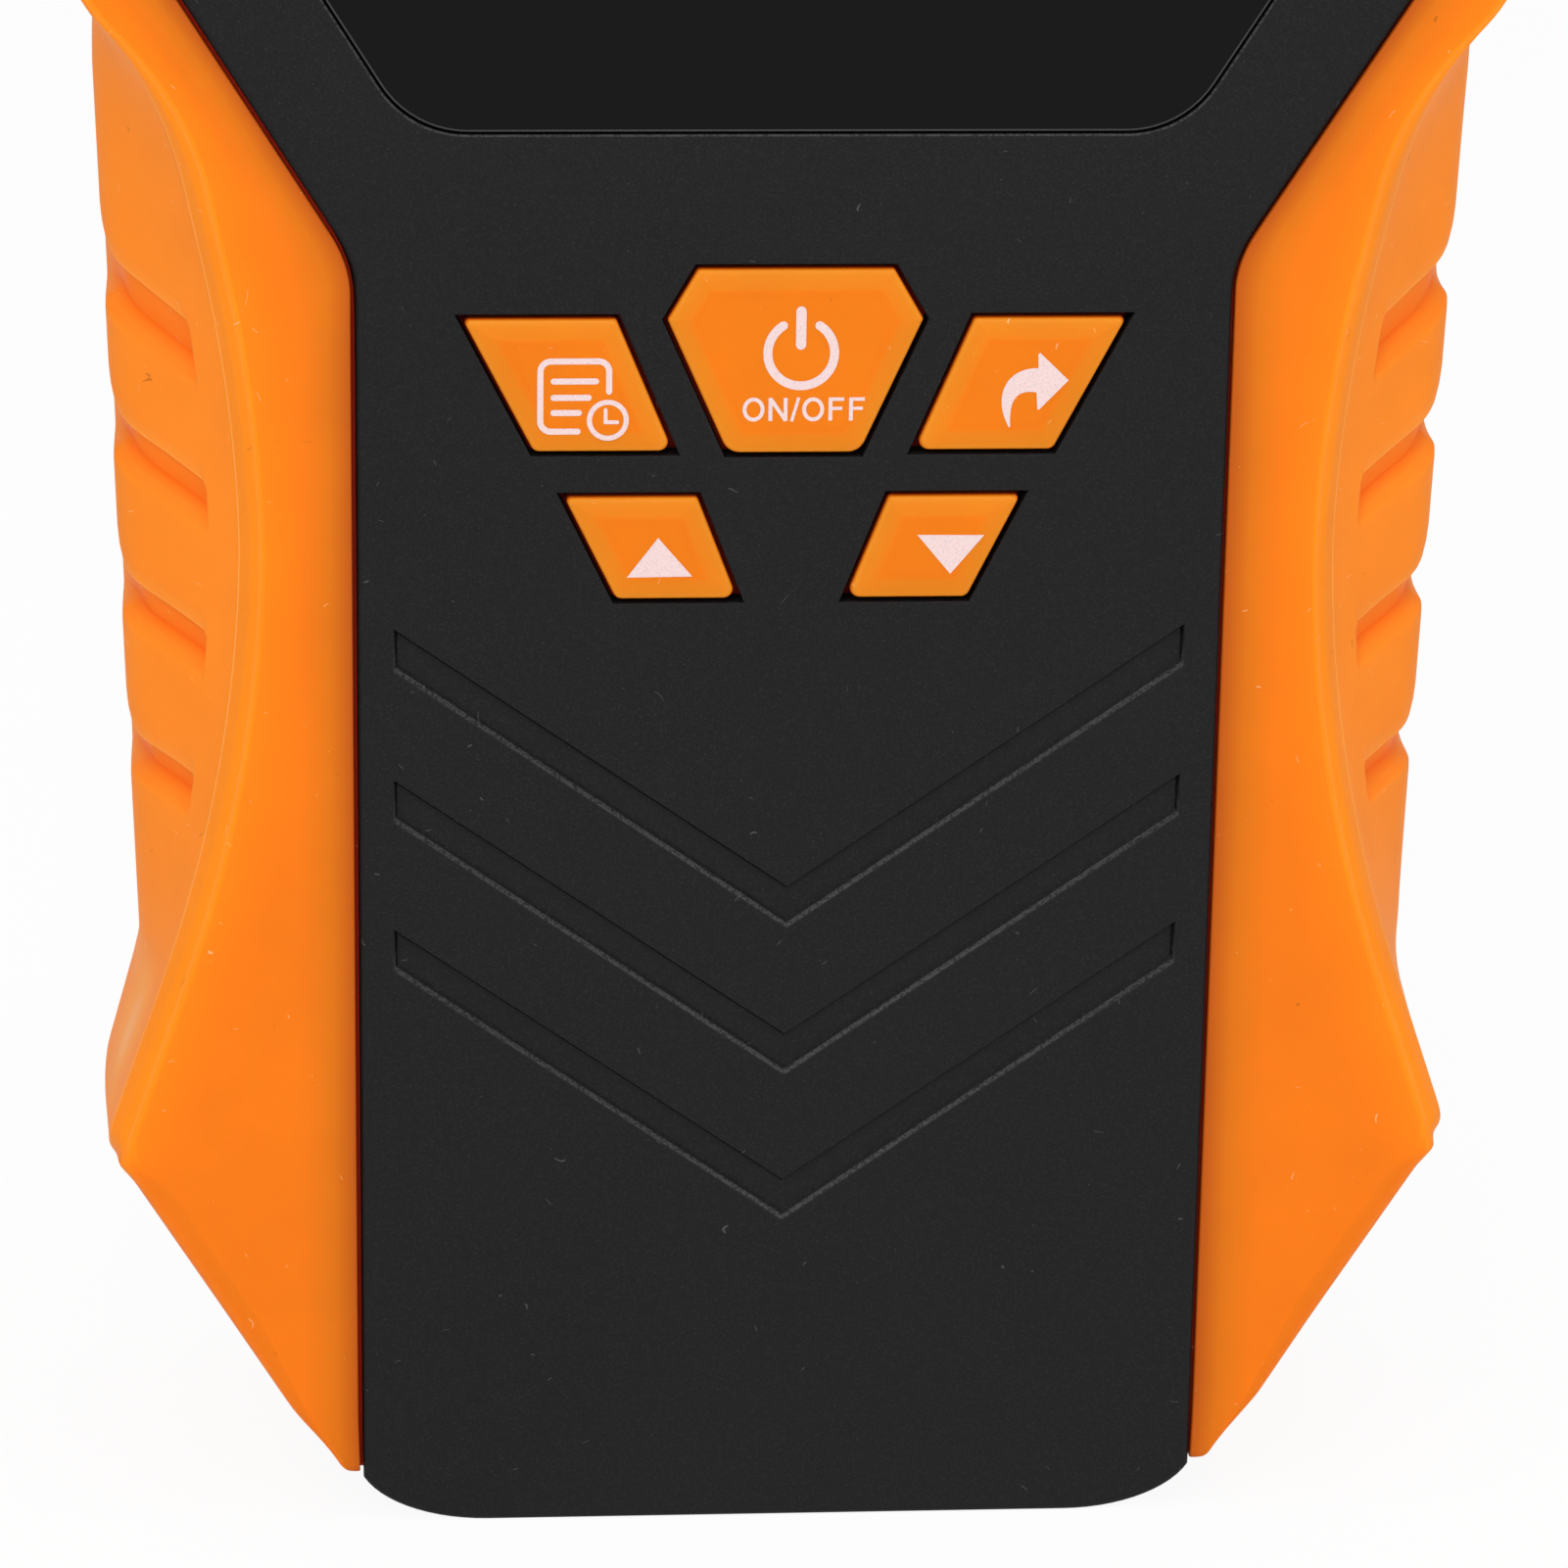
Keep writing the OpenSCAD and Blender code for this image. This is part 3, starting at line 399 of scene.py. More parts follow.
class Graph:
    """The nodes of one material, wired as they are added."""

    def __init__(self, name: str) -> None:
        """Starts a material with a surface shader and its output.

        Args:
            name: the material's name.
        """
        self.material = bpy.data.materials.new(name)
        self.material.use_nodes = True
        self.tree = self.material.node_tree
        self.shader = self.tree.nodes["Principled BSDF"]
        self.place = self.add("ShaderNodeTexCoord").outputs["Object"]

    def add(self, kind: str, inputs: dict | None = None, **settings: object) -> bpy.types.Node:
        """Adds a node.

        Args:
            kind: the node's type.
            inputs: values or sockets for its inputs, by name or number.
            settings: attributes of the node.

        Returns:
            The node.
        """
        node = self.tree.nodes.new(kind)
        for key, value in settings.items():
            setattr(node, key, value)
        self.wire(node, inputs or {})
        return node

    def wire(self, node: bpy.types.Node, inputs: dict) -> None:
        """Sets a node's inputs, each to a value or to another node's socket.

        Args:
            node: the node.
            inputs: values or sockets, by the input's name or number.
        """
        for key, value in inputs.items():
            if isinstance(value, bpy.types.NodeSocket):
                self.tree.links.new(value, node.inputs[key])
            else:
                node.inputs[key].default_value = value

    def noise(self, size_mm: float, detail: float = 2.0, rough: float = 0.5) -> bpy.types.NodeSocket:
        """Cloudy noise whose features are about size_mm wide."""
        inputs = {"Vector": self.place, "Scale": 1 / (size_mm * MM), "Detail": detail, "Roughness": rough}
        return self.add("ShaderNodeTexNoise", inputs).outputs["Fac"]

    def span(self, value: bpy.types.NodeSocket, low: float, high: float, to_low: float = 0.0,
             to_high: float = 1.0) -> bpy.types.NodeSocket:
        """Maps a value from low..high to to_low..to_high, held at the ends."""
        names = {"Value": value, "From Min": low, "From Max": high, "To Min": to_low, "To Max": to_high}
        return self.add("ShaderNodeMapRange", names).outputs["Result"]

    def maths(self, operation: str, a: object, b: object) -> bpy.types.NodeSocket:
        """The result of a sum, product or other operation on two values."""
        return self.add("ShaderNodeMath", {0: a, 1: b}, operation=operation).outputs[0]

    def blend(self, share: object, a: object, b: object) -> bpy.types.NodeSocket:
        """Mixes colour a with colour b by a share."""
        return self.add("ShaderNodeMixRGB", {"Fac": share, "Color1": a, "Color2": b}).outputs["Color"]

    def specks(self, pitch_mm: float, radius: float, rarity: float) -> bpy.types.NodeSocket:
        """Small dots: the middles of some of the cells of a cell pattern.

        Args:
            pitch_mm: size of a cell.
            radius: radius of a dot as a share of the cell.
            rarity: share of the cells that have none.

        Returns:
            1 in a dot, 0 elsewhere.
        """
        cells = self.add("ShaderNodeTexVoronoi", {"Vector": self.place, "Scale": 1 / (pitch_mm * MM)})
        dot = self.span(cells.outputs["Distance"], radius, radius * 0.5)
        pick = self.add("ShaderNodeSeparateColor", {"Color": cells.outputs["Color"]}).outputs[0]
        return self.maths("MULTIPLY", dot, self.maths("GREATER_THAN", pick, rarity))

    def hairs(self, pitch_mm: float, width: float, rarity: float) -> bpy.types.NodeSocket:
        """Stray fibres: short pieces of the contour lines of a cloudy noise.

        Args:
            pitch_mm: size of the noise's features.
            width: width of a fibre, in the noise's own units.
            rarity: level of a second noise below which there are none.

        Returns:
            1 in a fibre, 0 elsewhere.
        """
        off = self.maths("ABSOLUTE", self.maths("SUBTRACT", self.noise(pitch_mm, 0.0), 0.5), 0.0)
        line = self.span(off, width, width * 0.3)
        places = self.span(self.noise(pitch_mm * 0.37, 0.0), rarity, rarity + 0.02)
        return self.maths("MULTIPLY", line, places)

    def value(self, name: str) -> bpy.types.NodeSocket:
        """One of the mesh's own values."""
        return self.add("ShaderNodeAttribute", attribute_name=name).outputs["Fac"]

    def ramp(self, value: bpy.types.NodeSocket, stops: tuple) -> bpy.types.NodeSocket:
        """A colour that runs through stops by straight lines.

        Args:
            value: the socket that runs along the stops.
            stops: pairs of a position from 0 to 1 and a colour on the 0 to 255 scale.

        Returns:
            The colour's socket.
        """
        node = self.add("ShaderNodeValToRGB", {"Fac": value})
        elements = node.color_ramp.elements
        elements.remove(elements[1])
        for i, (at, colour) in enumerate(stops):
            stop = elements[0] if i == 0 else elements.new(at)
            stop.position = at
            stop.color = srgb(*colour)
        return node.outputs["Color"]

    def bump(self, height: bpy.types.NodeSocket, strength: float, distance_mm: float) -> None:
        """Roughens the surface by a height pattern."""
        inputs = {"Height": height, "Strength": strength, "Distance": distance_mm * MM}
        self.wire(self.shader, {"Normal": self.add("ShaderNodeBump", inputs).outputs["Normal"]})


def srgb(red: float, green: float, blue: float) -> tuple[float, float, float, float]:
    """A colour on the 0 to 255 scale of a screen as the linear colour of a shader.

    Args:
        red: share of red.
        green: share of green.
        blue: share of blue.

    Returns:
        The linear colour and 1 for opaque.
    """
    linear = [c / 255 / 12.92 if c <= 10 else ((c / 255 + 0.055) / 1.055) ** 2.4
              for c in (red, green, blue)]
    return (*linear, 1.0)


@dataclass(frozen=True)
class MouldedPlastic:
    """Finely textured moulded plastic with a little dust on it, and optional painted edge highlights and
    shade.
    """

    name: str
    colour: tuple[float, float, float]
    roughness: float = 0.55
    specular: float = 0.16
    grain_mm: float = 0.14
    grain: float = 0.5
    dust: float = 0.3
    # paints highlights on edges and shade in recesses and creases from the mesh's shade value
    wear_and_painted_light: bool = False

    def build(self) -> bpy.types.Material:
        """Makes the material.

        Returns:
            The material.
        """
        g = Graph(self.name)
        base = srgb(*self.colour)
        lighter = tuple(min(1.0, c * 2.8 + 0.004) for c in base[:3]) + (1.0,)
        darker = tuple(c * 0.88 for c in base[:3]) + (1.0,)
        cloud = g.blend(g.span(g.noise(9.0, 3.0), 0.3, 0.7), base, darker)
        # Painted light and shade: a low shade value paints shade into recesses and creases, a high one paints
        # a highlight, broken up by flecks, on edges that face the light.
        if self.wear_and_painted_light:
            shade = g.value("shade")
            bright = g.maths("MAXIMUM", g.maths("SUBTRACT", shade, 0.55), 0.0)
            painted_highlight_flecks = g.maths("MULTIPLY", bright, g.span(g.noise(0.17, 1.0), 0.4, 0.6, -0.9, 0.9))
            edges = g.ramp(g.maths("ADD", shade, painted_highlight_flecks),
                           ((0.0, (2, 2, 2)), (0.5, self.colour), (1.0, (60, 60, 60))))
            cloud = g.blend(g.span(g.noise(9.0, 3.0), 0.3, 0.7, 0.0, 0.12), edges, (0, 0, 0, 1))
        grain = g.noise(self.grain_mm, 3.0, 0.7)
        mottled = g.blend(g.span(grain, 0.5, 0.8), cloud, lighter)
        patterns = ((g.specks(0.7, 0.06, 0.84), 1.0, 0.2), (g.specks(3.1, 0.02, 0.8), 2.0, 0.4),
                    (g.hairs(2.8, 0.006, 0.76), 1.0, 0.2))
        dusty = mottled
        for spots, share, grey in patterns:
            dusty = g.blend(g.maths("MULTIPLY", spots, self.dust * share), dusty, (grey, grey, grey, 1))
        rough = g.span(grain, 0.3, 0.7, self.roughness - 0.06, self.roughness + 0.08)
        g.wire(g.shader, {"Base Color": dusty, "Specular IOR Level": self.specular, "Roughness": rough})
        g.bump(grain, self.grain, 0.03)
        return g.material


@dataclass(frozen=True)
class Silicone:
    """Satin, slightly translucent silicone rubber, whose colour follows the mesh's shade value: painted light
    and shade.
    """

    name: str
    shades: tuple[tuple[float, tuple[float, float, float]], ...]
    roughness: float = 0.52
    specular: float = 0.11
    # painted shade in the grooves' creases, mixed in by the sunk value
    crease: tuple[float, float, float] = (250, 102, 2)
    glow: float = 0.2
    dust: float = 0.45

    def build(self) -> bpy.types.Material:
        """Makes the material.

        Returns:
            The material.
        """
        g = Graph(self.name)
        # the shade value's ramp paints highlights, shade and a pale reflection into the colour
        colour = g.ramp(g.value("shade"), self.shades)
        body = g.blend(1.0, colour, g.span(g.noise(6.0, 3.0), 0.35, 0.65, 0.95, 1.0))
        body.node.blend_type = "MULTIPLY"
        # painted shade: the crease colour where the sunk value is high
        sunk = g.value("sunk")
        body = g.blend(sunk, body, srgb(*self.crease))
        pale = g.maths("MAXIMUM", g.specks(0.7, 0.06, 0.86), g.hairs(2.2, 0.007, 0.745))
        dark = g.maths("MAXIMUM", g.specks(1.9, 0.028, 0.88), g.hairs(2.9, 0.006, 0.79))
        spotted = g.blend(g.maths("MULTIPLY", pale, self.dust), body, srgb(255, 215, 165))
        spotted = g.blend(g.maths("MULTIPLY", dark, self.dust), spotted, srgb(120, 60, 20))
        grain = g.noise(0.2, 3.0, 0.65)
        g.wire(g.shader, {"Base Color": spotted, "Specular IOR Level": self.specular,
                          "Roughness": g.span(grain, 0.3, 0.7, self.roughness - 0.05, self.roughness + 0.07),
                          "Subsurface Weight": self.glow, "Subsurface Radius": (1.0, 0.3, 0.08),
                          "Subsurface Scale": 1.0 * MM})
        g.bump(grain, 0.25, 0.02)
        return g.material


@dataclass(frozen=True)
class Ink:
    """Pale printed ink with a fine screen grain."""

    name: str
    colour: tuple[float, float, float]

    def build(self) -> bpy.types.Material:
        """Makes the material.

        Returns:
            The material.
        """
        g = Graph(self.name)
        base = srgb(*self.colour)
        # darker ink where the grain is high: wear on the print
        wear_and_painted_light = tuple(c * 0.82 for c in base[:3]) + (1.0,)
        grain = g.noise(0.12, 2.0)
        g.wire(g.shader, {"Base Color": g.blend(g.span(grain, 0.45, 0.75), base, wear_and_painted_light), "Roughness": 0.6,
                          "Specular IOR Level": 0.3})
        g.bump(grain, 0.2, 0.01)
        return g.material


@dataclass(frozen=True)
class Gloss:
    """Polished dark lens or glass with faint waviness, and optional painted edge highlights and shade."""

    name: str
    colour: tuple[float, float, float]
    specular: float = 0.1
    roughness: float = 0.16
    painted_edge_light: bool = False

    def build(self) -> bpy.types.Material:
        """Makes the material.

        Returns:
            The material.
        """
        g = Graph(self.name)
        base = srgb(*self.colour)
        # painted shade on the walls and a painted highlight on the rounded edge, from the shade value
        if self.painted_edge_light:
            base = g.ramp(g.value("shade"), ((0.0, (2, 2, 2)), (0.5, self.colour), (1.0, (84, 84, 84))))
        deeper = srgb(*(c * 0.85 for c in self.colour))
        cloud = g.span(g.noise(30.0, 1.0), 0.3, 0.7, 0.0, 0.3)
        smear = g.noise(14.0, 2.0)
        dust = g.maths("MULTIPLY", g.specks(5.0, 0.02, 0.8), 0.4)
        g.wire(g.shader, {"Base Color": g.blend(dust, g.blend(cloud, base, deeper), (0.4, 0.4, 0.4, 1)),
                          "Roughness": g.span(smear, 0.3, 0.7, self.roughness, self.roughness + 0.06),
                          "Specular IOR Level": self.specular})
        g.bump(smear, 0.05, 0.02)
        return g.material


@dataclass(frozen=True)
class Metal:
    """Bare metal with fine brushing along x."""

    name: str
    colour: tuple[float, float, float]
    roughness: float = 0.35

    def build(self) -> bpy.types.Material:
        """Makes the material.

        Returns:
            The material.
        """
        g = Graph(self.name)
        base = srgb(*self.colour)
        stretched = g.add("ShaderNodeMapping", {"Vector": g.place, "Scale": (0.08, 1.0, 1.0)})
        brushing = {"Vector": stretched.outputs["Vector"], "Scale": 9000.0, "Detail": 2.0}
        lines = g.add("ShaderNodeTexNoise", brushing).outputs["Fac"]
        tarnish = tuple(c * 0.75 for c in base[:3]) + (1.0,)
        colour = g.blend(g.span(g.noise(3.0), 0.4, 0.8), base, tarnish)
        rough = g.span(lines, 0.3, 0.7, self.roughness - 0.08, self.roughness + 0.1)
        g.wire(g.shader, {"Base Color": colour, "Metallic": 1.0, "Roughness": rough})
        g.bump(lines, 0.15, 0.01)
        return g.material


@dataclass(frozen=True)
class Grainy:
    """A plain material with mottling, for foam, felt, boards, sleeves and cans."""

    name: str
    colour: tuple[float, float, float]
    grain_mm: float
    roughness: float = 0.7
    grain: float = 0.6
    contrast: float = 0.7

    def build(self) -> bpy.types.Material:
        """Makes the material.

        Returns:
            The material.
        """
        g = Graph(self.name)
        base = srgb(*self.colour)
        darker = tuple(c * self.contrast for c in base[:3]) + (1.0,)
        grain = g.noise(self.grain_mm, 4.0, 0.65)
        rough = g.span(grain, 0.3, 0.7, self.roughness, min(1.0, self.roughness + 0.1))
        g.wire(g.shader, {"Base Color": g.blend(g.span(grain, 0.35, 0.7), base, darker), "Roughness": rough})
        g.bump(grain, self.grain, self.grain_mm * 0.2)
        return g.material


@dataclass
class Finishes:
    """All materials of the stud finder, made once."""

    # the shell paints highlights on its edges and shade in its recesses from the shade value
    shell: bpy.types.Material = field(
        default_factory=MouldedPlastic("black_shell", (18, 18, 18), grain=0.7, wear_and_painted_light=True).build)
    # the grip's stops: painted dark red shadow in the gap, painted shade beside the panel, the orange itself,
    # painted highlights, and a painted pale reflection at 1.0
    grip: bpy.types.Material = field(default_factory=Silicone("orange_silicone", (
        (0.0, (176, 34, 2)), (0.06, (190, 89, 16)), (0.1, (203, 101, 15)), (0.17, (218, 114, 15)),
        (0.26, (228, 118, 16)), (0.42, (241, 121, 15)), (0.55, (252, 130, 15)), (0.64, (255, 141, 18)),
        (0.76, (255, 139, 33)), (0.88, (255, 156, 60)), (1.0, (255, 186, 134)))).build)
    # the key's stops: painted dark red shade on the sides and flange, the orange of the flat, painted
    # highlights on the rim
    key: bpy.types.Material = field(default_factory=Silicone("key_silicone", (
        (0.0, (160, 32, 4)), (0.3, (206, 80, 8)), (0.42, (228, 112, 10)), (0.55, (234, 122, 13)),
        (0.8, (226, 131, 24)), (1.0, (238, 150, 44)))).build)
    ink: bpy.types.Material = field(default_factory=Ink("print", (232, 206, 204)).build)
    # the lens gets a painted highlight on its rounded edge and painted shade on its side
    lens: bpy.types.Material = field(default_factory=Gloss("smoked_lens", (10, 10, 10), painted_edge_light=True).build)
    glass: bpy.types.Material = field(default_factory=Gloss("display_glass", (40, 44, 42), 0.5, 0.1).build)
    white: bpy.types.Material = field(
        default_factory=MouldedPlastic("white_plastic", (232, 232, 228), 0.5, 0.5, dust=0.0).build)
    board: bpy.types.Material = field(
        default_factory=Grainy("solder_mask", (22, 110, 66), 1.5, 0.35, 0.1, 0.8).build)
    chip: bpy.types.Material = field(
        default_factory=MouldedPlastic("chip_epoxy", (36, 36, 38), 0.55, 0.4, 0.1, dust=0.0).build)
    copper: bpy.types.Material = field(default_factory=Metal("bare_copper", (214, 140, 98)).build)
    steel: bpy.types.Material = field(default_factory=Metal("plated_steel", (186, 186, 186)).build)
    foam: bpy.types.Material = field(default_factory=Grainy("dense_foam", (62, 62, 66), 0.35, 0.85).build)
    can: bpy.types.Material = field(default_factory=Metal("battery_can", (150, 154, 160), 0.4).build)
    sleeve: bpy.types.Material = field(
        default_factory=Grainy("lead_sleeve", (176, 34, 26), 0.3, 0.4, 0.15).build)

    def by_slot(self) -> dict[Slot, bpy.types.Material]:
        """The finish that stands for each of the record's slots.

        Returns:
            Materials by slot.
        """
        return {Slot.SHELL: self.shell, Slot.GRIP: self.grip, Slot.KEY: self.key, Slot.LENS: self.lens,
                Slot.GLASS: self.glass, Slot.WHITE: self.white, Slot.BOARD: self.board, Slot.CHIP: self.chip,
                Slot.COPPER: self.copper, Slot.STEEL: self.steel, Slot.FOAM: self.foam, Slot.CAN: self.can,
                Slot.LEAD: self.sleeve}


# ---- the case's outlines ----


@dataclass(frozen=True)
class CaseShape:
    """Half widths of the case as functions of the height, as in the construction, in millimetres."""

    body_t: float = 32.0
    head_w: float = 98.0
    waist_w: float = 77.0
    corner_w: float = 80.5
    corner_z: float = 22.3
    panel_low_w: float = 50.7
    panel_knee_w: float = 51.4
    panel_head_w: float = 86.0
    knee_z: float = 78.6
    flare: float = math.tan(math.radians(32.5))
    chin_r: float = 5.0
    chin_w: float = 8.0
    chin_h: float = 4.2
    chin_end: float = 2.9
    knee_r: float = 1.8
    crown_r: float = 8.0
    crown_h: float = 18.0
    crown_slope: float = 0.62
    outer_crown_slope: float = 0.94
    bend_r: float = 4.0
    fade_z: float = 3.2
    fade_h: float = 0.2
    waist_z: float = 36.2
    waist_flare: float = 0.0407
    heel_slope: float = 0.38
    heel_z: float = 32.3
    shoulder_d: float = 3.0
    part_d: float = 11.0
    rebate_d: float = 25.0
    back_t: float = 1.6
    wall: float = 1.8
    plate_t: float = 2.0
    notch_d: float = 1.2
    lens_z: float = 86.4
    lens_side: float = 8.2
    lens_margin: float = 7.0
    lens_top: float = 12.0
    lens_crown: float = 8.0
    lens_r: float = 6.0

    @property
    def knee_x(self) -> float:
        """Half width of the panel just below the head."""
        return self.panel_knee_w / 2

    @property
    def head_z(self) -> float:
        """Height above which the panel is upright again."""
        return self.knee_z + (self.panel_head_w / 2 - self.knee_x) / self.flare

    def panel_x(self, z: np.ndarray) -> np.ndarray:
        """Half width of the panel, with a slight taper, a flare between two bends, a crown and round corners.

        Args:
            z: heights.

        Returns:
            The half width at each height: the low width, plus the taper and the flare, less the crown's slope
            and the corners' arcs.
        """
        taper = (self.panel_knee_w - self.panel_low_w) / 2 * np.minimum(z, self.knee_z) / self.knee_z
        flared = self.flare * (bend(z, self.knee_z, self.bend_r) - bend(z, self.head_z, self.bend_r))
        crown = self.crown_slope * bend(z, TOTAL_H - self.crown_h, self.bend_r)
        ends = corner(z, self.chin_r) + corner(TOTAL_H - z, self.crown_r)
        return self.panel_low_w / 2 + taper + flared - crown - ends

    def front_x(self, z: np.ndarray) -> np.ndarray:
        """Half width of the panel's front edge: a tighter knee, and a chin cut from an ellipse.

        Args:
            z: heights.

        Returns:
            The panel's half width, less the difference of two bends at the knee, with a quarter of an
            ellipse in place of the corner's arc.
        """
        quarter = [np.sqrt(1 - (1 - np.minimum(h, self.chin_end) / self.chin_h) ** 2)
                   for h in (self.chin_end, z)]
        knee = self.flare * (bend(z, self.knee_z, self.bend_r) - bend(z, self.knee_z, self.knee_r))
        return self.panel_x(z) - knee + corner(z, self.chin_r) - self.chin_w * (quarter[0] - quarter[1])

    def side_x(self, z: np.ndarray) -> np.ndarray:
        """Half width across the grips: the least of foot and crown, and of the wider of waist and head.

        Args:
            z: heights.

        Returns:
            The half width at each height, the panel's own beyond the grips' two ends.
        """
        foot_x = self.corner_w / 2 - self.flare * (self.corner_z - self.fade_z)
        foot = foot_x + self.flare * (z - self.fade_z)
        heel = self.heel_slope * bend(-z, -self.heel_z, self.bend_r)
        waist = self.waist_w / 2 + self.waist_flare * (z - self.waist_z) + heel
        grip_in = (self.head_w - self.panel_head_w) / 2
        head = self.knee_x + grip_in + self.flare * (z - self.knee_z - bend(z, self.head_z, self.bend_r))
        crown = self.head_w / 2 - self.outer_crown_slope * bend(z, TOTAL_H - self.crown_h, self.bend_r)
        side = np.minimum(np.minimum(foot, crown), np.maximum(waist, head))
        outside = (z < self.fade_z) | (z > TOTAL_H - self.fade_z)
        return np.where(outside, self.panel_x(z), side)

    def step_x(self, share: float, z: np.ndarray) -> np.ndarray:
        """Half width of a step of the core: the panel's plus a share of the grip's width."""
        return self.panel_x(z) + share * np.maximum(0, self.side_x(z) - self.panel_x(z))

    def heights(self) -> np.ndarray:
        """Heights for the case's outlines: close together in corners and bends, few where it is straight.

        Returns:
            The heights in rising order.
        """
        arc = np.linspace(0, np.pi / 2, 19)
        chin = self.chin_r * (1 - np.cos(arc))
        crown = TOTAL_H - self.crown_r * (1 - np.cos(arc))
        bends = [np.linspace(at - self.bend_r, at + self.bend_r, 9)
                 for at in (self.corner_z, self.knee_z, self.head_z, TOTAL_H - self.crown_h)]
        low, high = self.fade_z, TOTAL_H - self.fade_z
        steps = [low - self.fade_h, low, high, high + self.fade_h]
        return np.unique(np.round(np.concatenate([chin, crown, steps, np.linspace(30, 150, 41), *bends]), 4))

    def outline(self, share: float | None = None) -> np.ndarray:
        """Anticlockwise outline of the front edge or of a step of the core, notched in the middle of its top.

        Args:
            share: the step's share of the grip's width, or none for the front edge.

        Returns:
            The outline's corners, one row each.
        """
        z = self.heights()
        right = np.stack([self.front_x(z) if share is None else self.step_x(share, z), z], axis=1)
        notch = np.array([[self.notch_d, TOTAL_H], [0, TOTAL_H - self.notch_d], [-self.notch_d, TOTAL_H]])
        left = right[::-1] * np.array([-1, 1])
        return np.concatenate([right, notch, left])

    def lens_outline(self, out: float) -> np.ndarray:
        """Rounded outline of the lens, moved outwards by a distance.

        Args:
            out: the distance.

        Returns:
            The outline's points, one row each.
        """
        x = self.panel_head_w / 2 - self.lens_margin
        low_x = self.knee_x - self.lens_side + self.flare * (self.lens_z - self.knee_z)
        elbow = self.lens_z + (x - low_x) / self.flare
        top = TOTAL_H - self.lens_top
        right = np.array([[low_x, self.lens_z], [x, elbow], [x, top - self.lens_crown],
                          [x - self.crown_slope * self.lens_crown, top]])
        corners = np.concatenate([right, right[::-1] * np.array([-1, 1])])
        return round_corners(offset_loop(corners, out), self.lens_r, 10)


# ---- keys ----


class Sign(Enum):
    """What is printed on a key."""

    POWER = "power"
    LIST = "list"
    BACK = "back"
    UP = "up"
    DOWN = "down"


@dataclass(frozen=True)
class KeySpec:
    """One key: its sign, its sharp-cornered outline, anticlockwise, and the radii of its corners."""

    sign: Sign
    corners: np.ndarray
    low_r: float = 0.55
    top_r: float = 0.26

    @property
    def node(self) -> str:
        """The key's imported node."""
        return self.sign.value + "_key"

    @property
    def body(self) -> str:
        """The body that the key rides on."""
        return self.sign.value + "_button"


def leaning(x: float, z: float, height: float, top_w: float, low_w: float, lean: float) -> np.ndarray:
    """A key outline with leaning sides, left of the middle, from its outer top corner at (-x, z)."""
    return np.array([[lean - x, z - height], [lean - x + low_w, z - height], [top_w - x, z], [-x, z]])


def key_specs() -> list[KeySpec]:
    """The five keys; the right hand ones are the left hand ones turned left to right.

    Returns:
        One entry for each key.
    """
    turned = np.array([-1, 1])
    right = np.array([[3.9, 67.25], [7.525, 75.27], [5.75, 78.3]])
    power = np.concatenate([right[:1] * turned, right, right[:0:-1] * turned])
    menu = leaning(19.5, 75.35, 7.98, 9, 8.2, 4.2)
    step = leaning(13.5, 64.62, 6.22, 7.85, 7.2, 3.1)
    return [KeySpec(Sign.POWER, power, 1.1),
            KeySpec(Sign.LIST, menu), KeySpec(Sign.BACK, menu[::-1] * turned),
            KeySpec(Sign.UP, step), KeySpec(Sign.DOWN, step[::-1] * turned)]


def ribbon(path: np.ndarray, width: float, closed: bool = False) -> list[np.ndarray]:
    """Four-sided pieces of a stroke of constant width along a path, mitred at its corners.

    Args:
        path: points of the stroke's middle line.
        width: width of the stroke.
        closed: whether the last point joins the first.

    Returns:
        One anticlockwise outline for each piece.
    """
    along = np.diff(path, axis=0, append=path[:1])
    if not closed:
        along[-1] = along[-2]
    along /= np.linalg.norm(along, axis=1, keepdims=True)
    normal = np.stack([along[:, 1], -along[:, 0]], axis=1)
    before = np.roll(normal, 1, axis=0)
    if not closed:
        before[0] = normal[0]
    mitre = (normal + before) / (1 + (normal * before).sum(axis=1, keepdims=True)) * width / 2
    right, left = path + mitre, path - mitre
    ends = range(len(path) if closed else len(path) - 1)
    pairs = ((i, (i + 1) % len(path)) for i in ends)
    return [np.stack([right[i], right[j], left[j], left[i]]) for i, j in pairs]


def arc(centre: tuple[float, float], radii: tuple[float, float], start: float, end: float,
        steps: int) -> np.ndarray:
    """Points of an elliptic arc from one angle to another, in degrees."""
    angle = np.radians(np.linspace(start, end, steps + 1))
    return np.stack([centre[0] + radii[0] * np.cos(angle), centre[1] + radii[1] * np.sin(angle)], axis=1)


def dots(points: list[np.ndarray] | np.ndarray, radius: float) -> list[np.ndarray]:
    """Round ends of strokes: a small circle about each point."""
    return [arc(tuple(p), (radius, radius), 0, 337.5, 15) for p in points]


def curve(points: np.ndarray, steps: int) -> np.ndarray:
    """Points of a cubic curve through the first and last of four control points.

    Args:
        points: the control points, one row each.
        steps: straight pieces in the curve.

    Returns:
        The points: the sum of the control points times (1-t)^3, 3t(1-t)^2, 3t^2(1-t) and t^3.
    """
    t = np.linspace(0, 1, steps + 1)[:, None]
    weights = ((1 - t) ** 3, 3 * t * (1 - t) ** 2, 3 * t**2 * (1 - t), t**3)
    return sum(w * p for w, p in zip(weights, points))


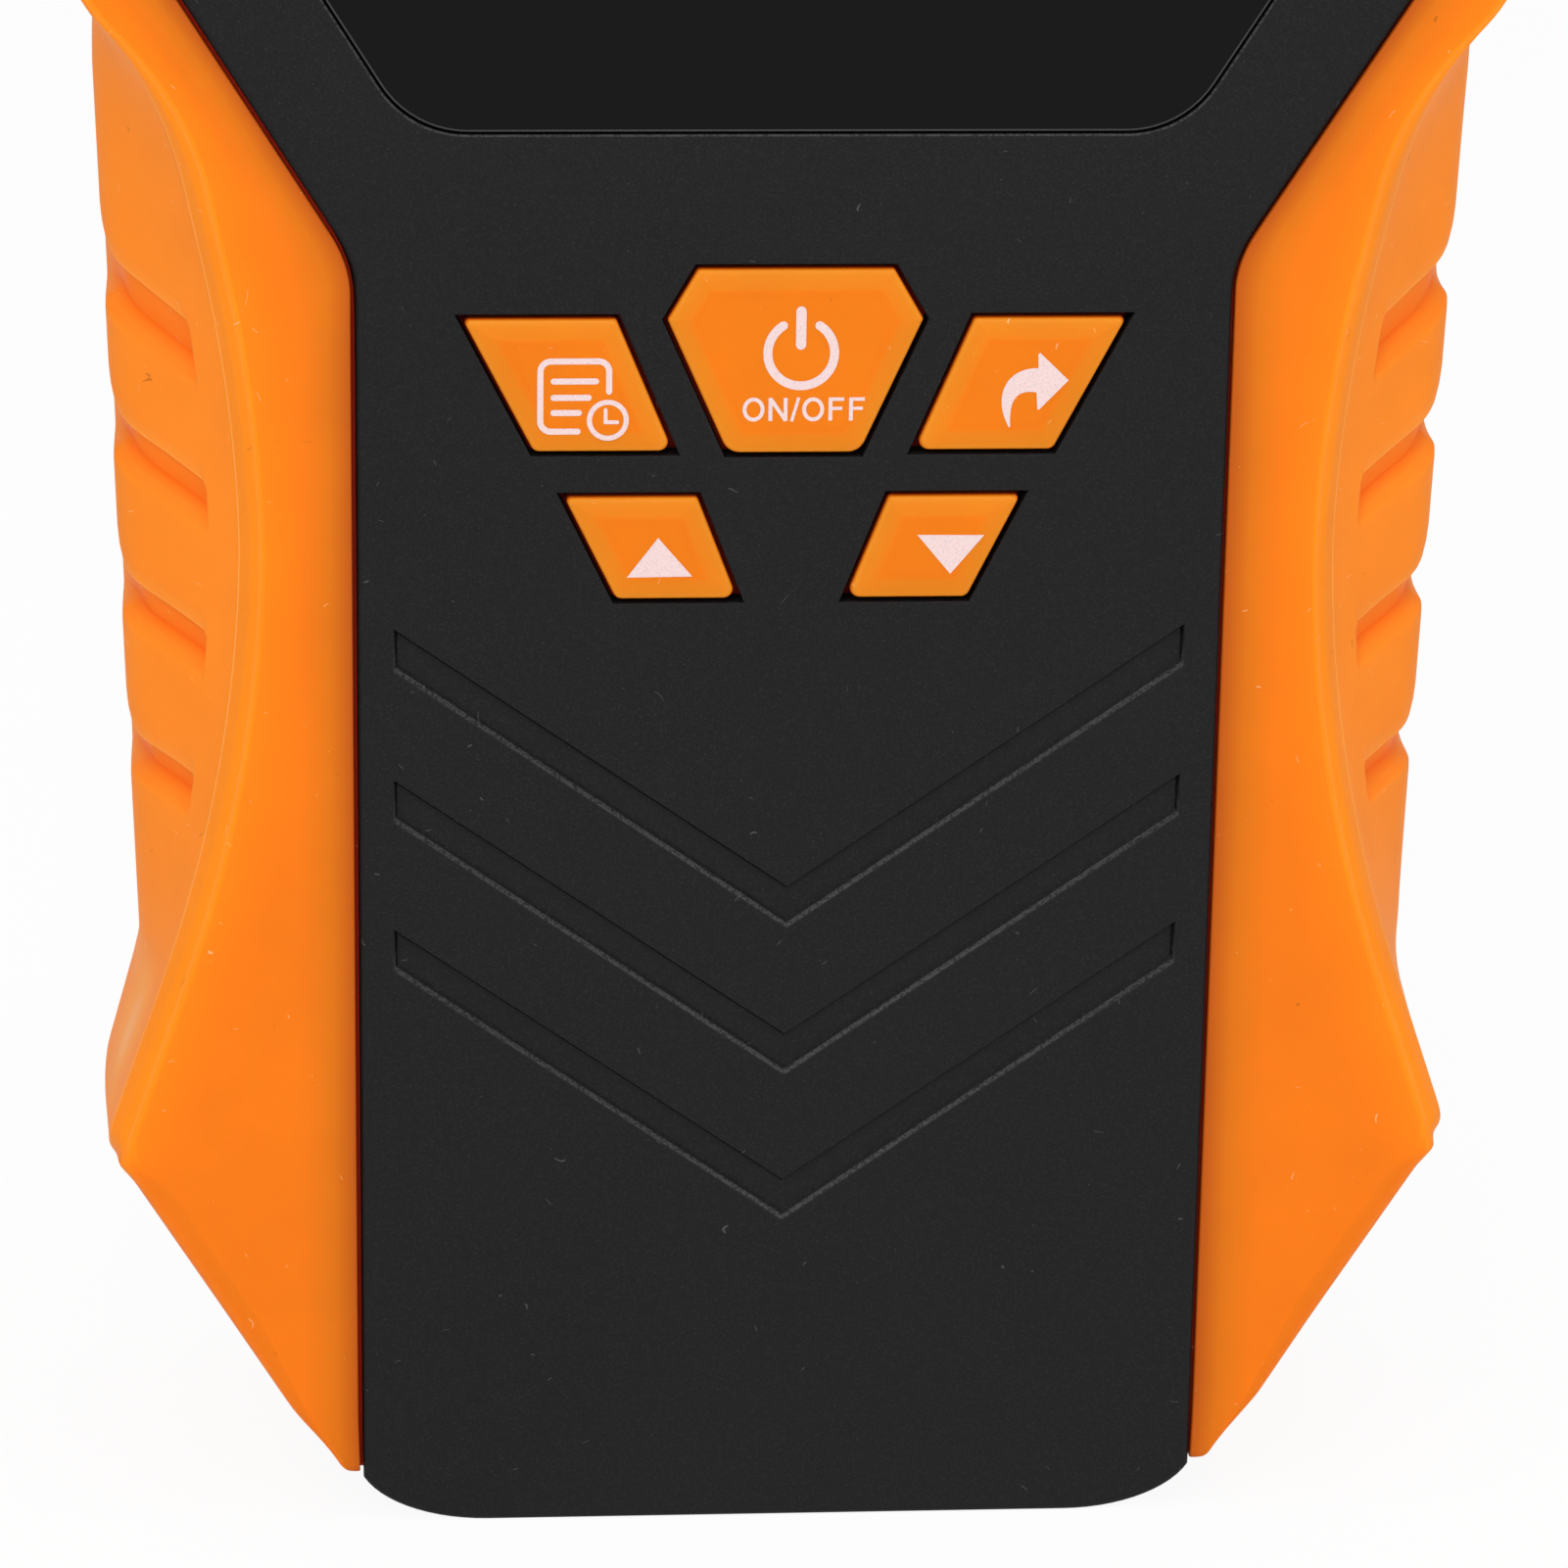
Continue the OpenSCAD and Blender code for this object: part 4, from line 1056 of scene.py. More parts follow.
@dataclass(frozen=True)
class Signs:
    """The printed signs, as lists of outlines in x and z that together cover the ink."""

    stroke: float = 0.23

    def of(self, sign: Sign) -> list[np.ndarray]:
        """The outlines of one sign.

        Args:
            sign: which sign.

        Returns:
            The outlines, which may overlap.
        """
        makers = {Sign.POWER: self.power, Sign.LIST: self.page, Sign.BACK: self.arrow,
                  Sign.UP: self.up, Sign.DOWN: self.down}
        return makers[sign]()

    def power(self) -> list[np.ndarray]:
        """A ring open at the top with an upright bar, over the words ON/OFF.

        Returns:
            The outlines.
        """
        middle, radius, width = (0.32, 73.32), 1.96, 0.53
        ring = arc(middle, (radius, radius), 123, 417, 48)
        bar = np.array([[0.3, 73.82], [0.3, 75.82]])
        parts = ribbon(ring, width) + dots(ring[[0, -1]], width / 2)
        parts += ribbon(bar, 0.6) + dots(bar, 0.3)
        return parts + self.words()

    def words(self) -> list[np.ndarray]:
        """The letters of ON/OFF as strokes.

        Returns:
            The outlines.
        """
        low, top, half = 69.22, 70.66, self.stroke / 2
        middle = (low + top) / 2
        parts = []
        for x in (-2.43, 1.07):
            oval = arc((x, middle), (0.645 - half, (top - low) / 2 - half), 0, 352, 44)
            parts += ribbon(oval, self.stroke, closed=True)
        parts += ribbon(np.array([[-1.44, low + 0.03], [-1.44, top - 0.03]]), self.stroke)
        parts += ribbon(np.array([[-0.55, low + 0.03], [-0.55, top - 0.03]]), self.stroke)
        parts += ribbon(np.array([[-1.46, top - 0.05], [-0.53, low + 0.05]]), self.stroke)
        parts += ribbon(np.array([[-0.19, low], [0.22, top]]), self.stroke * 0.8)
        for x in (2.09, 3.3):
            parts += ribbon(np.array([[x, low + 0.03], [x, top - 0.03]]), self.stroke)
            for z, end, share in ((top - half, 0.8, 0.9), (middle + 0.05, 0.7, 0.85)):
                parts += ribbon(np.array([[x - half, z], [x + end, z]]), self.stroke * share)
        return parts

    def page(self) -> list[np.ndarray]:
        """A sheet with three lines, and a clock over its lower right corner.

        Returns:
            The outlines.
        """
        width, r = 0.36, 0.62
        left, right, low, top = -14.93, -10.91, 68.67, 72.88
        side = np.concatenate([[[right, 71.06]], arc((right - r, top - r), (r, r), 0, 90, 8),
                               arc((left + r, top - r), (r, r), 90, 180, 8),
                               arc((left + r, low + r), (r, r), 180, 270, 8), [[-12.74, low]]])
        parts = ribbon(side, width) + dots(side[[0, -1]], width / 2)
        for z, end in ((71.68, -11.68), (70.7, -12.1), (69.79, -12.67)):
            line = np.array([[-14.15, z], [end, z]])
            parts += ribbon(line, width) + dots(line, width / 2)
        parts += ribbon(arc((-10.97, 69.34), (1.08, 1.08), 0, 352.5, 47), 0.3, closed=True)
        hands = np.array([[-11.1, 69.96], [-11.1, 69.22], [-10.42, 69.22]])
        return parts + ribbon(hands, self.stroke) + dots(hands[[0, -1]], self.stroke / 2)

    def arrow(self) -> list[np.ndarray]:
        """A bent arrow that swells from its tail to its head.

        Returns:
            The outline, between two curves.
        """
        tail, neck_top, neck_low = np.array([12.63, 68.8]), np.array([14.3, 72.36]), np.array([14.22, 70.9])
        outer = curve(np.array([tail, [11.6, 70.6], [12.35, 72.4], neck_top]), 20)
        inner = curve(np.array([neck_low, [12.95, 71.1], [12.6, 70.4], tail + [0.08, 0.0]]), 20)
        head = np.array([[14.27, 73.18], [14.38, 73.28], [16.1, 71.62], [14.38, 69.84], [14.29, 69.88]])
        return [np.concatenate([outer, head, inner])[::-1]]

    def up(self) -> list[np.ndarray]:
        """A triangle that points up."""
        return [np.array([[-9.78, 59.8], [-5.91, 59.84], [-7.95, 62.2]])]

    def down(self) -> list[np.ndarray]:
        """A triangle that points down."""
        return [np.array([[9.36, 59.9], [11.34, 62.26], [7.36, 62.29]])]


@dataclass
class Keypad:
    """The five keys and their prints."""

    finishes: Finishes
    proud: float = 0.25
    plate_t: float = 2.0
    flange_gap: float = 0.2
    flange_t: float = 1.0
    flange_w: float = 0.8
    plunger_r: float = 1.6
    plunger_end: float = 6.7
    ink_t: float = 0.014
    arc_steps: int = 6

    def ring(self, spec: KeySpec, inset: float, depth: float) -> np.ndarray:
        """A ring of a key: its outline moved in by the inset, with rounder lower corners.

        Args:
            spec: the key.
            inset: the distance inwards.
            depth: depth of the ring.

        Returns:
            Rows of x, depth, z.
        """
        low = spec.corners[:, 1] < spec.corners[:, 1].mean()
        radius = np.maximum(np.where(low, spec.low_r, spec.top_r) - 0.3 * max(inset, 0.0), 0.12)
        return at_depth(round_corners(offset_loop(spec.corners, -inset), radius, self.arc_steps), depth)

    def cap(self, spec: KeySpec) -> bpy.types.Object:
        """One key, from its soft bevelled top down to the flange and the plunger.

        Args:
            spec: the key.

        Returns:
            The key's object.
        """
        face = -self.proud
        # the third numbers are shades: the flat, a slightly darker band inside the rim, a painted highlight
        # on the bevelled rim and painted shade down the side; the flange below is painted dark red shade
        top = [(1.9, face, 0.55), (1.5, face, 0.52), (1.3, face, 0.55), (1.15, face + 0.01, 0.68),
               (0.95, face + 0.05, 0.72), (0.55, face + 0.12, 0.76), (0.24, face + 0.19, 0.84),
               (0.12, face + 0.25, 0.9), (0.03, face + 0.38, 0.42), (0.0, face + 0.6, 0.2)]
        flange_d = self.plate_t + self.flange_gap
        wide = -self.flange_w
        sides = [(0.0, flange_d, 0.0), (wide, flange_d, 0.0), (wide, flange_d + self.flange_t, 0.0)]
        rings = np.stack([self.ring(spec, inset, depth) for inset, depth, _ in top + sides])
        centre = spec.corners.mean(axis=0)
        last = rings[-1][:, [0, 2]]
        angle = np.arctan2(last[:, 1] - centre[1], last[:, 0] - centre[0])
        circle = centre + self.plunger_r * np.stack([np.cos(angle), np.sin(angle)], axis=1)
        foot = np.stack([at_depth(circle, flange_d + self.flange_t), at_depth(circle, self.plunger_end)])
        rings = np.concatenate([rings, foot])
        key = Surface()
        key.grid(rings, by_ring([shade for _, _, shade in top + sides] + [0.0] * len(foot), rings))
        key.cap([rings[0][:, [0, 2]]], [], face, 0.55)
        key.cap([circle], [], self.plunger_end, 0.0)
        return key.piece(spec.node + "_cap", spec.body, Slot.KEY, self.finishes.key, (spec.node,), sharp=50)

    def sign(self, spec: KeySpec) -> bpy.types.Object:
        """The print on one key: a thin slab of ink that stands on the key's flat top.

        Args:
            spec: the key.

        Returns:
            The print's object.
        """
        flat, triangles = fill(Signs().of(spec.sign), [])
        top, low = -self.proud - self.ink_t, -self.proud + self.ink_t
        sides = [triangles[:, [0, 1]], triangles[:, [1, 2]], triangles[:, [2, 0]]]
        edges = np.sort(np.concatenate(sides), axis=1)
        lone, counts = np.unique(edges, axis=0, return_counts=True)
        border = lone[counts == 1]
        n = len(flat)
        ink = Surface()
        points = np.concatenate([at_depth(flat, top), at_depth(flat, low)])
        ink.add(points, np.concatenate([triangles, triangles[:, ::-1] + n]))
        ink.add(points, np.concatenate([border, border[:, ::-1] + n], axis=1))
        return ink.piece(spec.sign.value + "_sign", spec.body, Slot.KEY, self.finishes.ink)

    def build(self) -> None:
        """Makes all keys and prints."""
        for spec in key_specs():
            self.cap(spec)
            self.sign(spec)


# ---- front cover and lens ----


@dataclass
class FrontCover:
    """The front cover: panel with round edges, sunken chevrons, key openings and lens recess."""

    case: CaseShape
    finishes: Finishes
    edge_r: float = 0.35
    key_gap: float = 0.25
    chevron_z: float = 21.9
    chevron_pitch: float = 9.3
    chevron_w: float = 46.9
    chevron_band: float = 2.55
    chevron_slope: float = math.tan(math.radians(34.5))
    chevron_deep: float = 0.4
    chevron_count: int = 3
    lens_gap: float = 0.12
    lens_rear: float = 1.3
    ledge: float = 1.6

    def chevron(self, i: int) -> np.ndarray:
        """Outline of one chevron from its upper middle point, anticlockwise.

        Args:
            i: its number, counted upwards.

        Returns:
            The outline's six corners.
        """
        tip = self.chevron_z + i * self.chevron_pitch
        x = self.chevron_w / 2
        rise = x * self.chevron_slope
        band = self.chevron_band
        return np.array([[0, tip], [-x, tip + rise], [-x, tip + rise - band], [0, tip - band],
                         [x, tip + rise - band], [x, tip + rise]])

    def sink_chevron(self, cover: Surface, loop: np.ndarray) -> np.ndarray:
        """Adds a chevron's walls and floor; the lower walls slope, the others are nearly upright.

        Args:
            cover: the surface that is added to.
            loop: the chevron's outline.

        Returns:
            The outline that is left open in the panel's face.
        """
        draft = np.array([0.08, 0.12, 0.34, 0.34, 0.12, 0.08])
        around = np.full(6, 0.05)
        deep = self.chevron_deep
        levels = [(around * 2, 0.0), (around * 0.6, 0.0), (-0.15 * draft, 0.05), (-0.58 * draft, 0.58 * deep),
                  (-0.68 * draft, 0.68 * deep), (-draft - 0.05, deep), (-draft - 0.09, deep)]
        rings = np.stack([at_depth(offset_loop(loop, out), depth) for out, depth in levels])
        # painted shade on the upper walls and in the crease at the foot of the lower walls; a painted
        # highlight on the lower walls, which face the light
        upper, lower = [0.5, 0.35, 0.05, 0.0, 0.0, 0.0, 0.5], [0.5, 0.6, 1.0, 1.0, 0.0, 0.0, 0.5]
        cover.grid(rings, np.array([upper, upper, lower, lower, lower, upper]).T)
        cover.cap([rings[-1][:, [0, 2]]], [], self.chevron_deep)
        return rings[0][:, [0, 2]]

    def opening(self, cover: Surface, loop: np.ndarray, profile: list[tuple[float, float, float]]) -> tuple:
        """Adds the wall of an opening and gives its outlines on the face and under the plate.

        Args:
            cover: the surface that is added to.
            loop: the opening's outline.
            profile: distances outwards, depths and shades of the wall's rings.

        Returns:
            The outlines that are left open on the face and under the plate.
        """
        rings = rim(loop, [(out, depth) for out, depth, _ in profile])
        cover.grid(rings, by_ring([shade for _, _, shade in profile], rings))
        return rings[0][:, [0, 2]], rings[-1][:, [0, 2]]

    def build(self) -> bpy.types.Object:
        """Makes the cover as one closed shell.

        Returns:
            The cover's object.
        """
        case, r = self.case, self.edge_r
        front, panel, core = case.outline(), case.outline(0.0), case.outline(0.25)
        inner = offset_loop(panel, -case.wall)
        turn = np.linspace(0, np.pi / 2, 6)
        rounding = [(-r * (1 - math.cos(a)), r * (1 - math.sin(a))) for a in turn]
        seam = 0.22
        rings = [at_depth(inner, case.plate_t), at_depth(inner, case.part_d)]
        rings += [at_depth(offset_loop(core, -out), case.part_d - back)
                  for out, back in ((seam, 0), (seam * 0.3, seam * 0.3), (0, seam))]
        rings += [at_depth(core, case.shoulder_d), at_depth(panel, case.shoulder_d)]
        rings += [at_depth(offset_loop(front, out), depth) for out, depth in rounding]
        rings += [at_depth(offset_loop(front, -r - 0.1), 0.0)]
        cover = Surface()
        cover.grid(np.stack(rings))
        face_holes = [self.sink_chevron(cover, self.chevron(i)) for i in range(self.chevron_count)]
        plate_holes = []
        # the walls of the key openings get painted shade, darker deeper down
        key_wall = [(0.2, 0.0, 0.5), (0.1, 0.0, 0.5), (0.03, 0.03, 0.45), (0.0, 0.1, 0.3),
                    (0.0, case.plate_t, 0.1)]
        for spec in key_specs():
            face, under = self.opening(cover, offset_loop(spec.corners, self.key_gap), key_wall)
            face_holes.append(face)
            plate_holes.append(under)
        inner_out = -self.lens_gap - self.ledge
        # a painted highlight on the recess's rounded edge; painted shade on its wall and ledge
        lens_wall = [(0.32, 0.0, 0.5), (0.15, 0.0, 0.5), (0.1, 0.005, 0.95), (0.03, 0.05, 0.95),
                     (0.0, 0.12, 0.1), (0.0, self.lens_rear, 0.0), (inner_out, self.lens_rear, 0.1),
                     (inner_out, case.plate_t, 0.1)]
        face, under = self.opening(cover, case.lens_outline(self.lens_gap), lens_wall)
        face_holes.append(face)
        plate_holes.append(under)
        cover.cap([rings[-1][:, [0, 2]]], face_holes, 0.0)
        cover.cap([inner], plate_holes, case.plate_t)
        return cover.piece("front_panel", "case", Slot.SHELL, self.finishes.shell, ("front_cover",))


@dataclass
class Lens:
    """The smoked lens with a rounded edge, a little below the panel's face."""

    case: CaseShape
    finishes: Finishes
    front: float = 0.1
    rear: float = 1.3

    def build(self) -> bpy.types.Object:
        """Makes the lens.

        Returns:
            The lens's object.
        """
        front = self.front
        profile = [(0.0, self.rear), (0.0, front + 0.15), (-0.03, front + 0.05), (-0.1, front),
                   (-0.16, front), (-0.35, front)]
        rings = rim(self.case.lens_outline(0.0), profile)
        lens = Surface()
        # painted shade on the lens's side and a painted highlight on its rounded edge
        lens.grid(rings, by_ring([0.2, 0.1, 0.95, 0.95, 0.5, 0.5], rings))
        lens.cap([rings[0][:, [0, 2]]], [], self.rear)
        lens.cap([rings[-1][:, [0, 2]]], [], self.front)
        return lens.piece("lens_window", "case", Slot.LENS, self.finishes.lens, ("display_lens",))


# ---- grips ----


@dataclass(frozen=True)
class Station:
    """A corner of the grip's section in all rows, with what lies between it and the next one."""

    points: np.ndarray
    radius: np.ndarray | float
    between: tuple[float, ...] = ()


@dataclass
class SideGrips:
    """The two moulded grips: flat front band, ridge, narrow step, pad with finger grooves, rolled rear."""

    case: CaseShape
    finishes: Finishes
    ridge_x: float = 31.3
    bevel_w: float = 1.2
    swell: float = 0.25
    heel_slope: float = 0.32
    heel_z: float = 33.2
    heel_r: float = 2.6
    corner_soft: float = 1.4
    ridge_in: float = 0.45
    plain_in: float = 0.35
    ridge_d: float = 0.4
    step_d: float = 0.95
    pad_d: float = 2.05
    waist_d: float = 10.5
    heel_d: float = 14.0
    turn_at: float = 0.833
    cove: float = 1.15
    ridge_bends: tuple[tuple[float, float, float], ...] = ((0.22, 69.0, 9.0), (0.75, 88.0, 5.0))
    ridge_low_bend: tuple[float, float, float] = (0.347, 48.2, 14.0)
    foot_z: tuple[float, float] = (21.5, 25.0)
    top_z: tuple[float, float] = (84.0, 93.0)
    swell_end_z: tuple[float, float] = (88.0, 94.0)
    heel_from_z: tuple[float, float] = (22.0, 25.5)
    heel_to_z: tuple[float, float] = (31.0, 36.0)
    tip_z: tuple[float, float] = (1.5, 7.5)
    tip_share: float = 0.42
    heel_top_z: float = 30.0
    groove_z: tuple[float, ...] = (76.2, 66.6, 56.7, 46.7)
    groove_h: tuple[float, ...] = (3.8, 3.2, 3.1, 2.8)
    groove_deep: float = 1.2
    skew_z: tuple[float, ...] = (34.0, 46.7, 56.7, 66.6, 76.2, 81.0, 93.0)
    skew_mm: tuple[float, ...] = (0.0, 2.0, 3.9, 5.1, 5.5, 5.3, 0.0)
    fit_gap: float = 0.04
    lip_gap: float = 0.29
    right_gap: float = 0.18
    lip_d: float = 0.9
    end_r: float = 0.5
    # width of the painted dark red shadow on the lip beside the panel
    red_w: float = 0.42
    strip_columns: int = 22

    def side_x(self, z: np.ndarray) -> np.ndarray:
        """Half width of the grip: the case's, a little wider at the waist, with a tighter heel.

        Args:
            z: heights.

        Returns:
            The half width at each height: the lesser of foot and waist, with the corner between them
            eased by a parabola, fading into the case's own at the head.
        """
        case = self.case
        cut = case.heel_slope * bend(-z, -case.heel_z, case.bend_r)
        heel = self.heel_slope * bend(-z, -self.heel_z, self.heel_r)
        foot = case.corner_w / 2 + case.flare * (z - case.corner_z)
        waist = case.waist_w / 2 + case.waist_flare * (z - case.waist_z)
        waist_x = waist + heel + self.swell
        soft = self.corner_soft
        own = np.minimum(foot, waist_x) - np.maximum(0, soft - np.abs(foot - waist_x)) ** 2 / (4 * soft)
        below_head = (z < self.heel_top_z) | (case.side_x(z) <= waist + cut + MERGE_MM / 2)
        fade = 1 - ease(z, *self.swell_end_z)
        faded = own * fade + case.side_x(z) * (1 - fade)
        return np.where(below_head & (z > case.fade_z), faded, case.side_x(z))

    def ridge(self, z: np.ndarray) -> np.ndarray:
        """Half width of the ridge that ends the front band: an arc between the foot and the head.

        Args:
            z: heights.

        Returns:
            The half width at each height, always a little less than the grip's own.
        """
        slope, at, radius = self.ridge_low_bend
        arc_x = self.ridge_x + slope * bend(-z, -at, radius)
        for slope, at, radius in self.ridge_bends:
            arc_x = arc_x + slope * bend(z, at, radius)
        side, panel = self.side_x(z), self.case.front_x(z)
        inset = self.ridge_in + self.plain_in * self.plain(z)
        return np.minimum(arc_x, side - np.minimum(inset, 0.4 * (side - panel)))

    def pad_x(self, z: np.ndarray) -> np.ndarray:
        """Half width at the pad's inner edge."""
        side, ridge = self.side_x(z), self.ridge(z)
        return np.minimum(ridge + self.bevel_w * (1 - 0.6 * self.high(z)), side - 0.25 * (side - ridge))

    def plain(self, z: np.ndarray) -> np.ndarray:
        """1 below the heel's corner, where the band turns straight into the side, else 0."""
        return 1 - ease(z, *self.foot_z)

    def high(self, z: np.ndarray) -> np.ndarray:
        """1 in the head, where the strip between ridge and pad has run out, else 0."""
        return ease(z, *self.top_z)

    def pad_start(self, z: np.ndarray) -> np.ndarray:
        """Depth of the pad's inner edge: deeper in the foot, shallower in the head."""
        return self.pad_d + 3.8 * self.plain(z) - 0.95 * self.high(z)

    def widest(self, z: np.ndarray) -> np.ndarray:
        """Depth of the widest line: further back at the heel.

        Args:
            z: heights.

        Returns:
            The depth at each height.
        """
        heel = ease(z, *self.heel_from_z) * (1 - ease(z, *self.heel_to_z))
        return self.waist_d + (self.heel_d - self.waist_d) * heel

    def rows(self) -> np.ndarray:
        """Heights of the grid's rows: closest across the grooves and at their edges.

        Returns:
            The heights in rising order.
        """
        low, high = self.case.fade_z, TOTAL_H - self.case.fade_z
        ends = np.linspace(0, 1, 6) ** 2 * self.end_r
        parts = [np.linspace(low, 21, 45), np.linspace(21, 40, 70), np.linspace(40, 82, 230),
                 np.linspace(82, 100, 45), np.linspace(100, high, 80), low + ends, high - ends]
        edges = [self.groove_low(i) + self.groove_knots(i) for i in range(len(self.groove_z))]
        return np.unique(np.round(np.concatenate(parts + edges), 3))

    def groove_low(self, i: int) -> float:
        """Height of the lower edge of a groove."""
        return self.groove_z[i] - self.groove_h[i] / 2

    def groove_knots(self, i: int) -> np.ndarray:
        """Heights above a groove's lower edge at which its depth and shade are given.

        Args:
            i: the groove's number.

        Returns:
            The heights in rising order.
        """
        h = self.groove_h[i]
        return np.array([-0.5, -0.1, 0.1, 0.5, 0.9, 1.1, 1.4, h - 0.3, h - 0.1, h + 0.03, h + 0.3,
                         h + 1.2, h + 2.2])

    def groove_profile(self, z: np.ndarray, values: tuple[float, ...], plain: float) -> np.ndarray:
        """Values at the knots of every groove, joined by straight lines, and a plain value between.

        Args:
            z: heights.
            values: one value for each knot.
            plain: the value between grooves.

        Returns:
            The value at each height.
        """
        out = np.full_like(z, plain)
        for i in range(len(self.groove_z)):
            knots = self.groove_low(i) + self.groove_knots(i)
            out = np.where((z >= knots[0]) & (z <= knots[-1]), np.interp(z, knots, values), out)
        return out

    def groove_gate(self, depth: np.ndarray) -> np.ndarray:
        """1 between the inner ends of the grooves and the side, fading out behind the widest line."""
        return ease(depth, 4.15, 4.65) * (1 - ease(depth, 9.8, 15.0))

    def groove_cut(self, z: np.ndarray, depth: np.ndarray) -> np.ndarray:
        """How far the pad is sunk: a sloping lower wall, a floor, a steep upper wall and a soft lip.

        Args:
            z: heights of the rows, one column.
            depth: depths of the points.

        Returns:
            The cut in millimetres, its profile in height times a gate in depth.
        """
        depths = (0.0, 0.02, 0.1, 0.55, 0.93, 1.0, 0.96, 0.76, 0.66, 0.25, 0.17, 0.05, 0.0)
        return self.groove_deep * self.groove_profile(z, depths, 0.0) * self.groove_gate(depth)

    def skew(self, z: np.ndarray) -> np.ndarray:
        """How far the rows drop towards the ridge, most across the upper grooves, by straight lines.

        Args:
            z: heights.

        Returns:
            The drop at each height.
        """
        return np.interp(z, self.skew_z, self.skew_mm)

    def shrink(self, z: np.ndarray) -> np.ndarray:
        """How far the section is drawn in near the grip's two tips."""
        low, high = self.case.fade_z, TOTAL_H - self.case.fade_z
        return corner(z - low, self.end_r) + corner(high - z, self.end_r)

    def taper(self, z: np.ndarray, depth: np.ndarray) -> np.ndarray:
        """Share of the width that is left near the lower tip, where the front draws in towards the chin."""
        return 1 - self.tip_share * (1 - ease(z, *self.tip_z)) * (1 - ease(depth, 5.0, 10.5))

    def stations(self, z: np.ndarray) -> list[Station]:
        """Corners of the section from the lip beside the panel to the pad's inner edge.

        Args:
            z: heights of the rows.

        Returns:
            The corners in order; each drops with the grooves by its own share.
        """
        inset, plain, high = self.shrink(z), self.plain(z)[:, None], self.high(z)
        panel, ridge = self.case.front_x, self.ridge
        corners = []

        def at(share: float, x_of: object, depth: np.ndarray | float, radius: np.ndarray | float,
               between: tuple[float, ...] = ()) -> None:
            """Adds a corner at a depth, whose height is lower than the row's by a share of the skew.

            Args:
                share: the share of the skew.
                x_of: gives the half width at a height.
                depth: its depth.
                radius: radius of its rounding.
                between: shares of the way to the next corner that get a column.
            """
            h = z - self.skew(z) * share
            d = depth + inset
            x = panel(h) + (x_of(h) - panel(h)) * self.taper(h, d)
            corners.append(Station(np.stack([x, d, h], axis=1), radius, between))

        back = self.case.panel_x(z) + self.fit_gap
        corners.append(Station(np.stack([back, np.full_like(z, self.case.shoulder_d), z], axis=1), 0.0))
        at(0.0, lambda h: 0.75 * panel(h) + 0.25 * self.case.panel_x(h) + self.fit_gap, self.lip_d, 0.0)
        at(0.0, lambda h: panel(h) + self.lip_gap, self.lip_d, 0.06)
        at(0.0, lambda h: panel(h) + self.lip_gap, 0.0, 0.2, (0.08, 0.17, 0.3, 0.45, 0.6, 0.75, 0.9))
        at(0.5, lambda h: (panel(h) + ridge(h)) / 2, 0.0, 0.2, (0.15, 0.3, 0.45, 0.6, 0.72, 0.82, 0.9, 0.96))
        at(1.0, lambda h: ridge(h) - inset, self.ridge_d * (1 - 0.5 * plain[:, 0]), 0.3 + 1.7 * plain,
           (0.35, 0.65))
        at(1.0, lambda h: ridge(h) + (self.pad_x(h) - ridge(h)) * (0.5 - 0.38 * plain[:, 0]) - inset,
           self.step_d + 3.2 * plain[:, 0] - 0.5 * high, 0.2 + plain, (0.35, 0.7))
        at(1.0, lambda h: self.pad_x(h) - inset, self.pad_start(z), 0.25 + plain)
        return corners

    def front(self, z: np.ndarray, steps: int = 5) -> np.ndarray:
        """Columns from the lip to the pad's inner edge: corners joined by straight lines, with each
        corner eased by a quadratic curve between points at its radius on both sides.

        Args:
            z: heights of the rows.
            steps: straight pieces across a corner.

        Returns:
            Points as rows, columns, (x, depth, height).
        """
        corners = self.stations(z)
        points = [c.points for c in corners] + [self.pad(z, np.array([0.05]))[:, 0]]
        starts, ends = [points[0]], [points[0]]
        for i in range(1, len(corners)):
            lengths = [np.linalg.norm(points[k] - points[i], axis=1)[:, None] for k in (i - 1, i + 1)]
            reach = [np.minimum(corners[i].radius / np.maximum(length, 1e-6), 0.48) for length in lengths]
            starts.append(points[i] + (points[i - 1] - points[i]) * reach[0])
            ends.append(points[i] + (points[i + 1] - points[i]) * reach[1])
        starts.append(points[-1])
        columns = []
        for i, c in enumerate(corners):
            t = np.linspace(0, 1, steps + 1) if i and np.max(c.radius) > 0 else [0.0]
            columns += [(1 - u) ** 2 * starts[i] + 2 * u * (1 - u) * points[i] + u**2 * ends[i] for u in t]
            columns += [ends[i] + (starts[i + 1] - ends[i]) * share for share in c.between]
        return np.stack(columns, axis=1)

    def pad(self, z: np.ndarray, u: np.ndarray) -> np.ndarray:
        """Columns of the pad: a slope that turns into the side by a parabola, less the grooves.

        Args:
            z: heights of the rows.
            u: shares of the pad's depth.

        Returns:
            Points as rows, columns, (x, depth, height).
        """
        inset = self.shrink(z)[:, None]
        h = z[:, None] - self.skew(z)[:, None] * (1 - u)
        side, inner = self.side_x(h) - inset, self.pad_x(h) - inset
        start = self.pad_start(h) + inset
        depth = start + (self.widest(h) - start) * u
        rise = (u - bend(u, self.turn_at, 1 - self.turn_at)) / self.turn_at
        x = inner + (side - inner) * rise**self.cove
        panel = self.case.front_x(h)
        x = panel + (x - panel) * self.taper(h, depth) - self.groove_cut(z[:, None], depth)
        return np.stack([x, depth, h], axis=2)

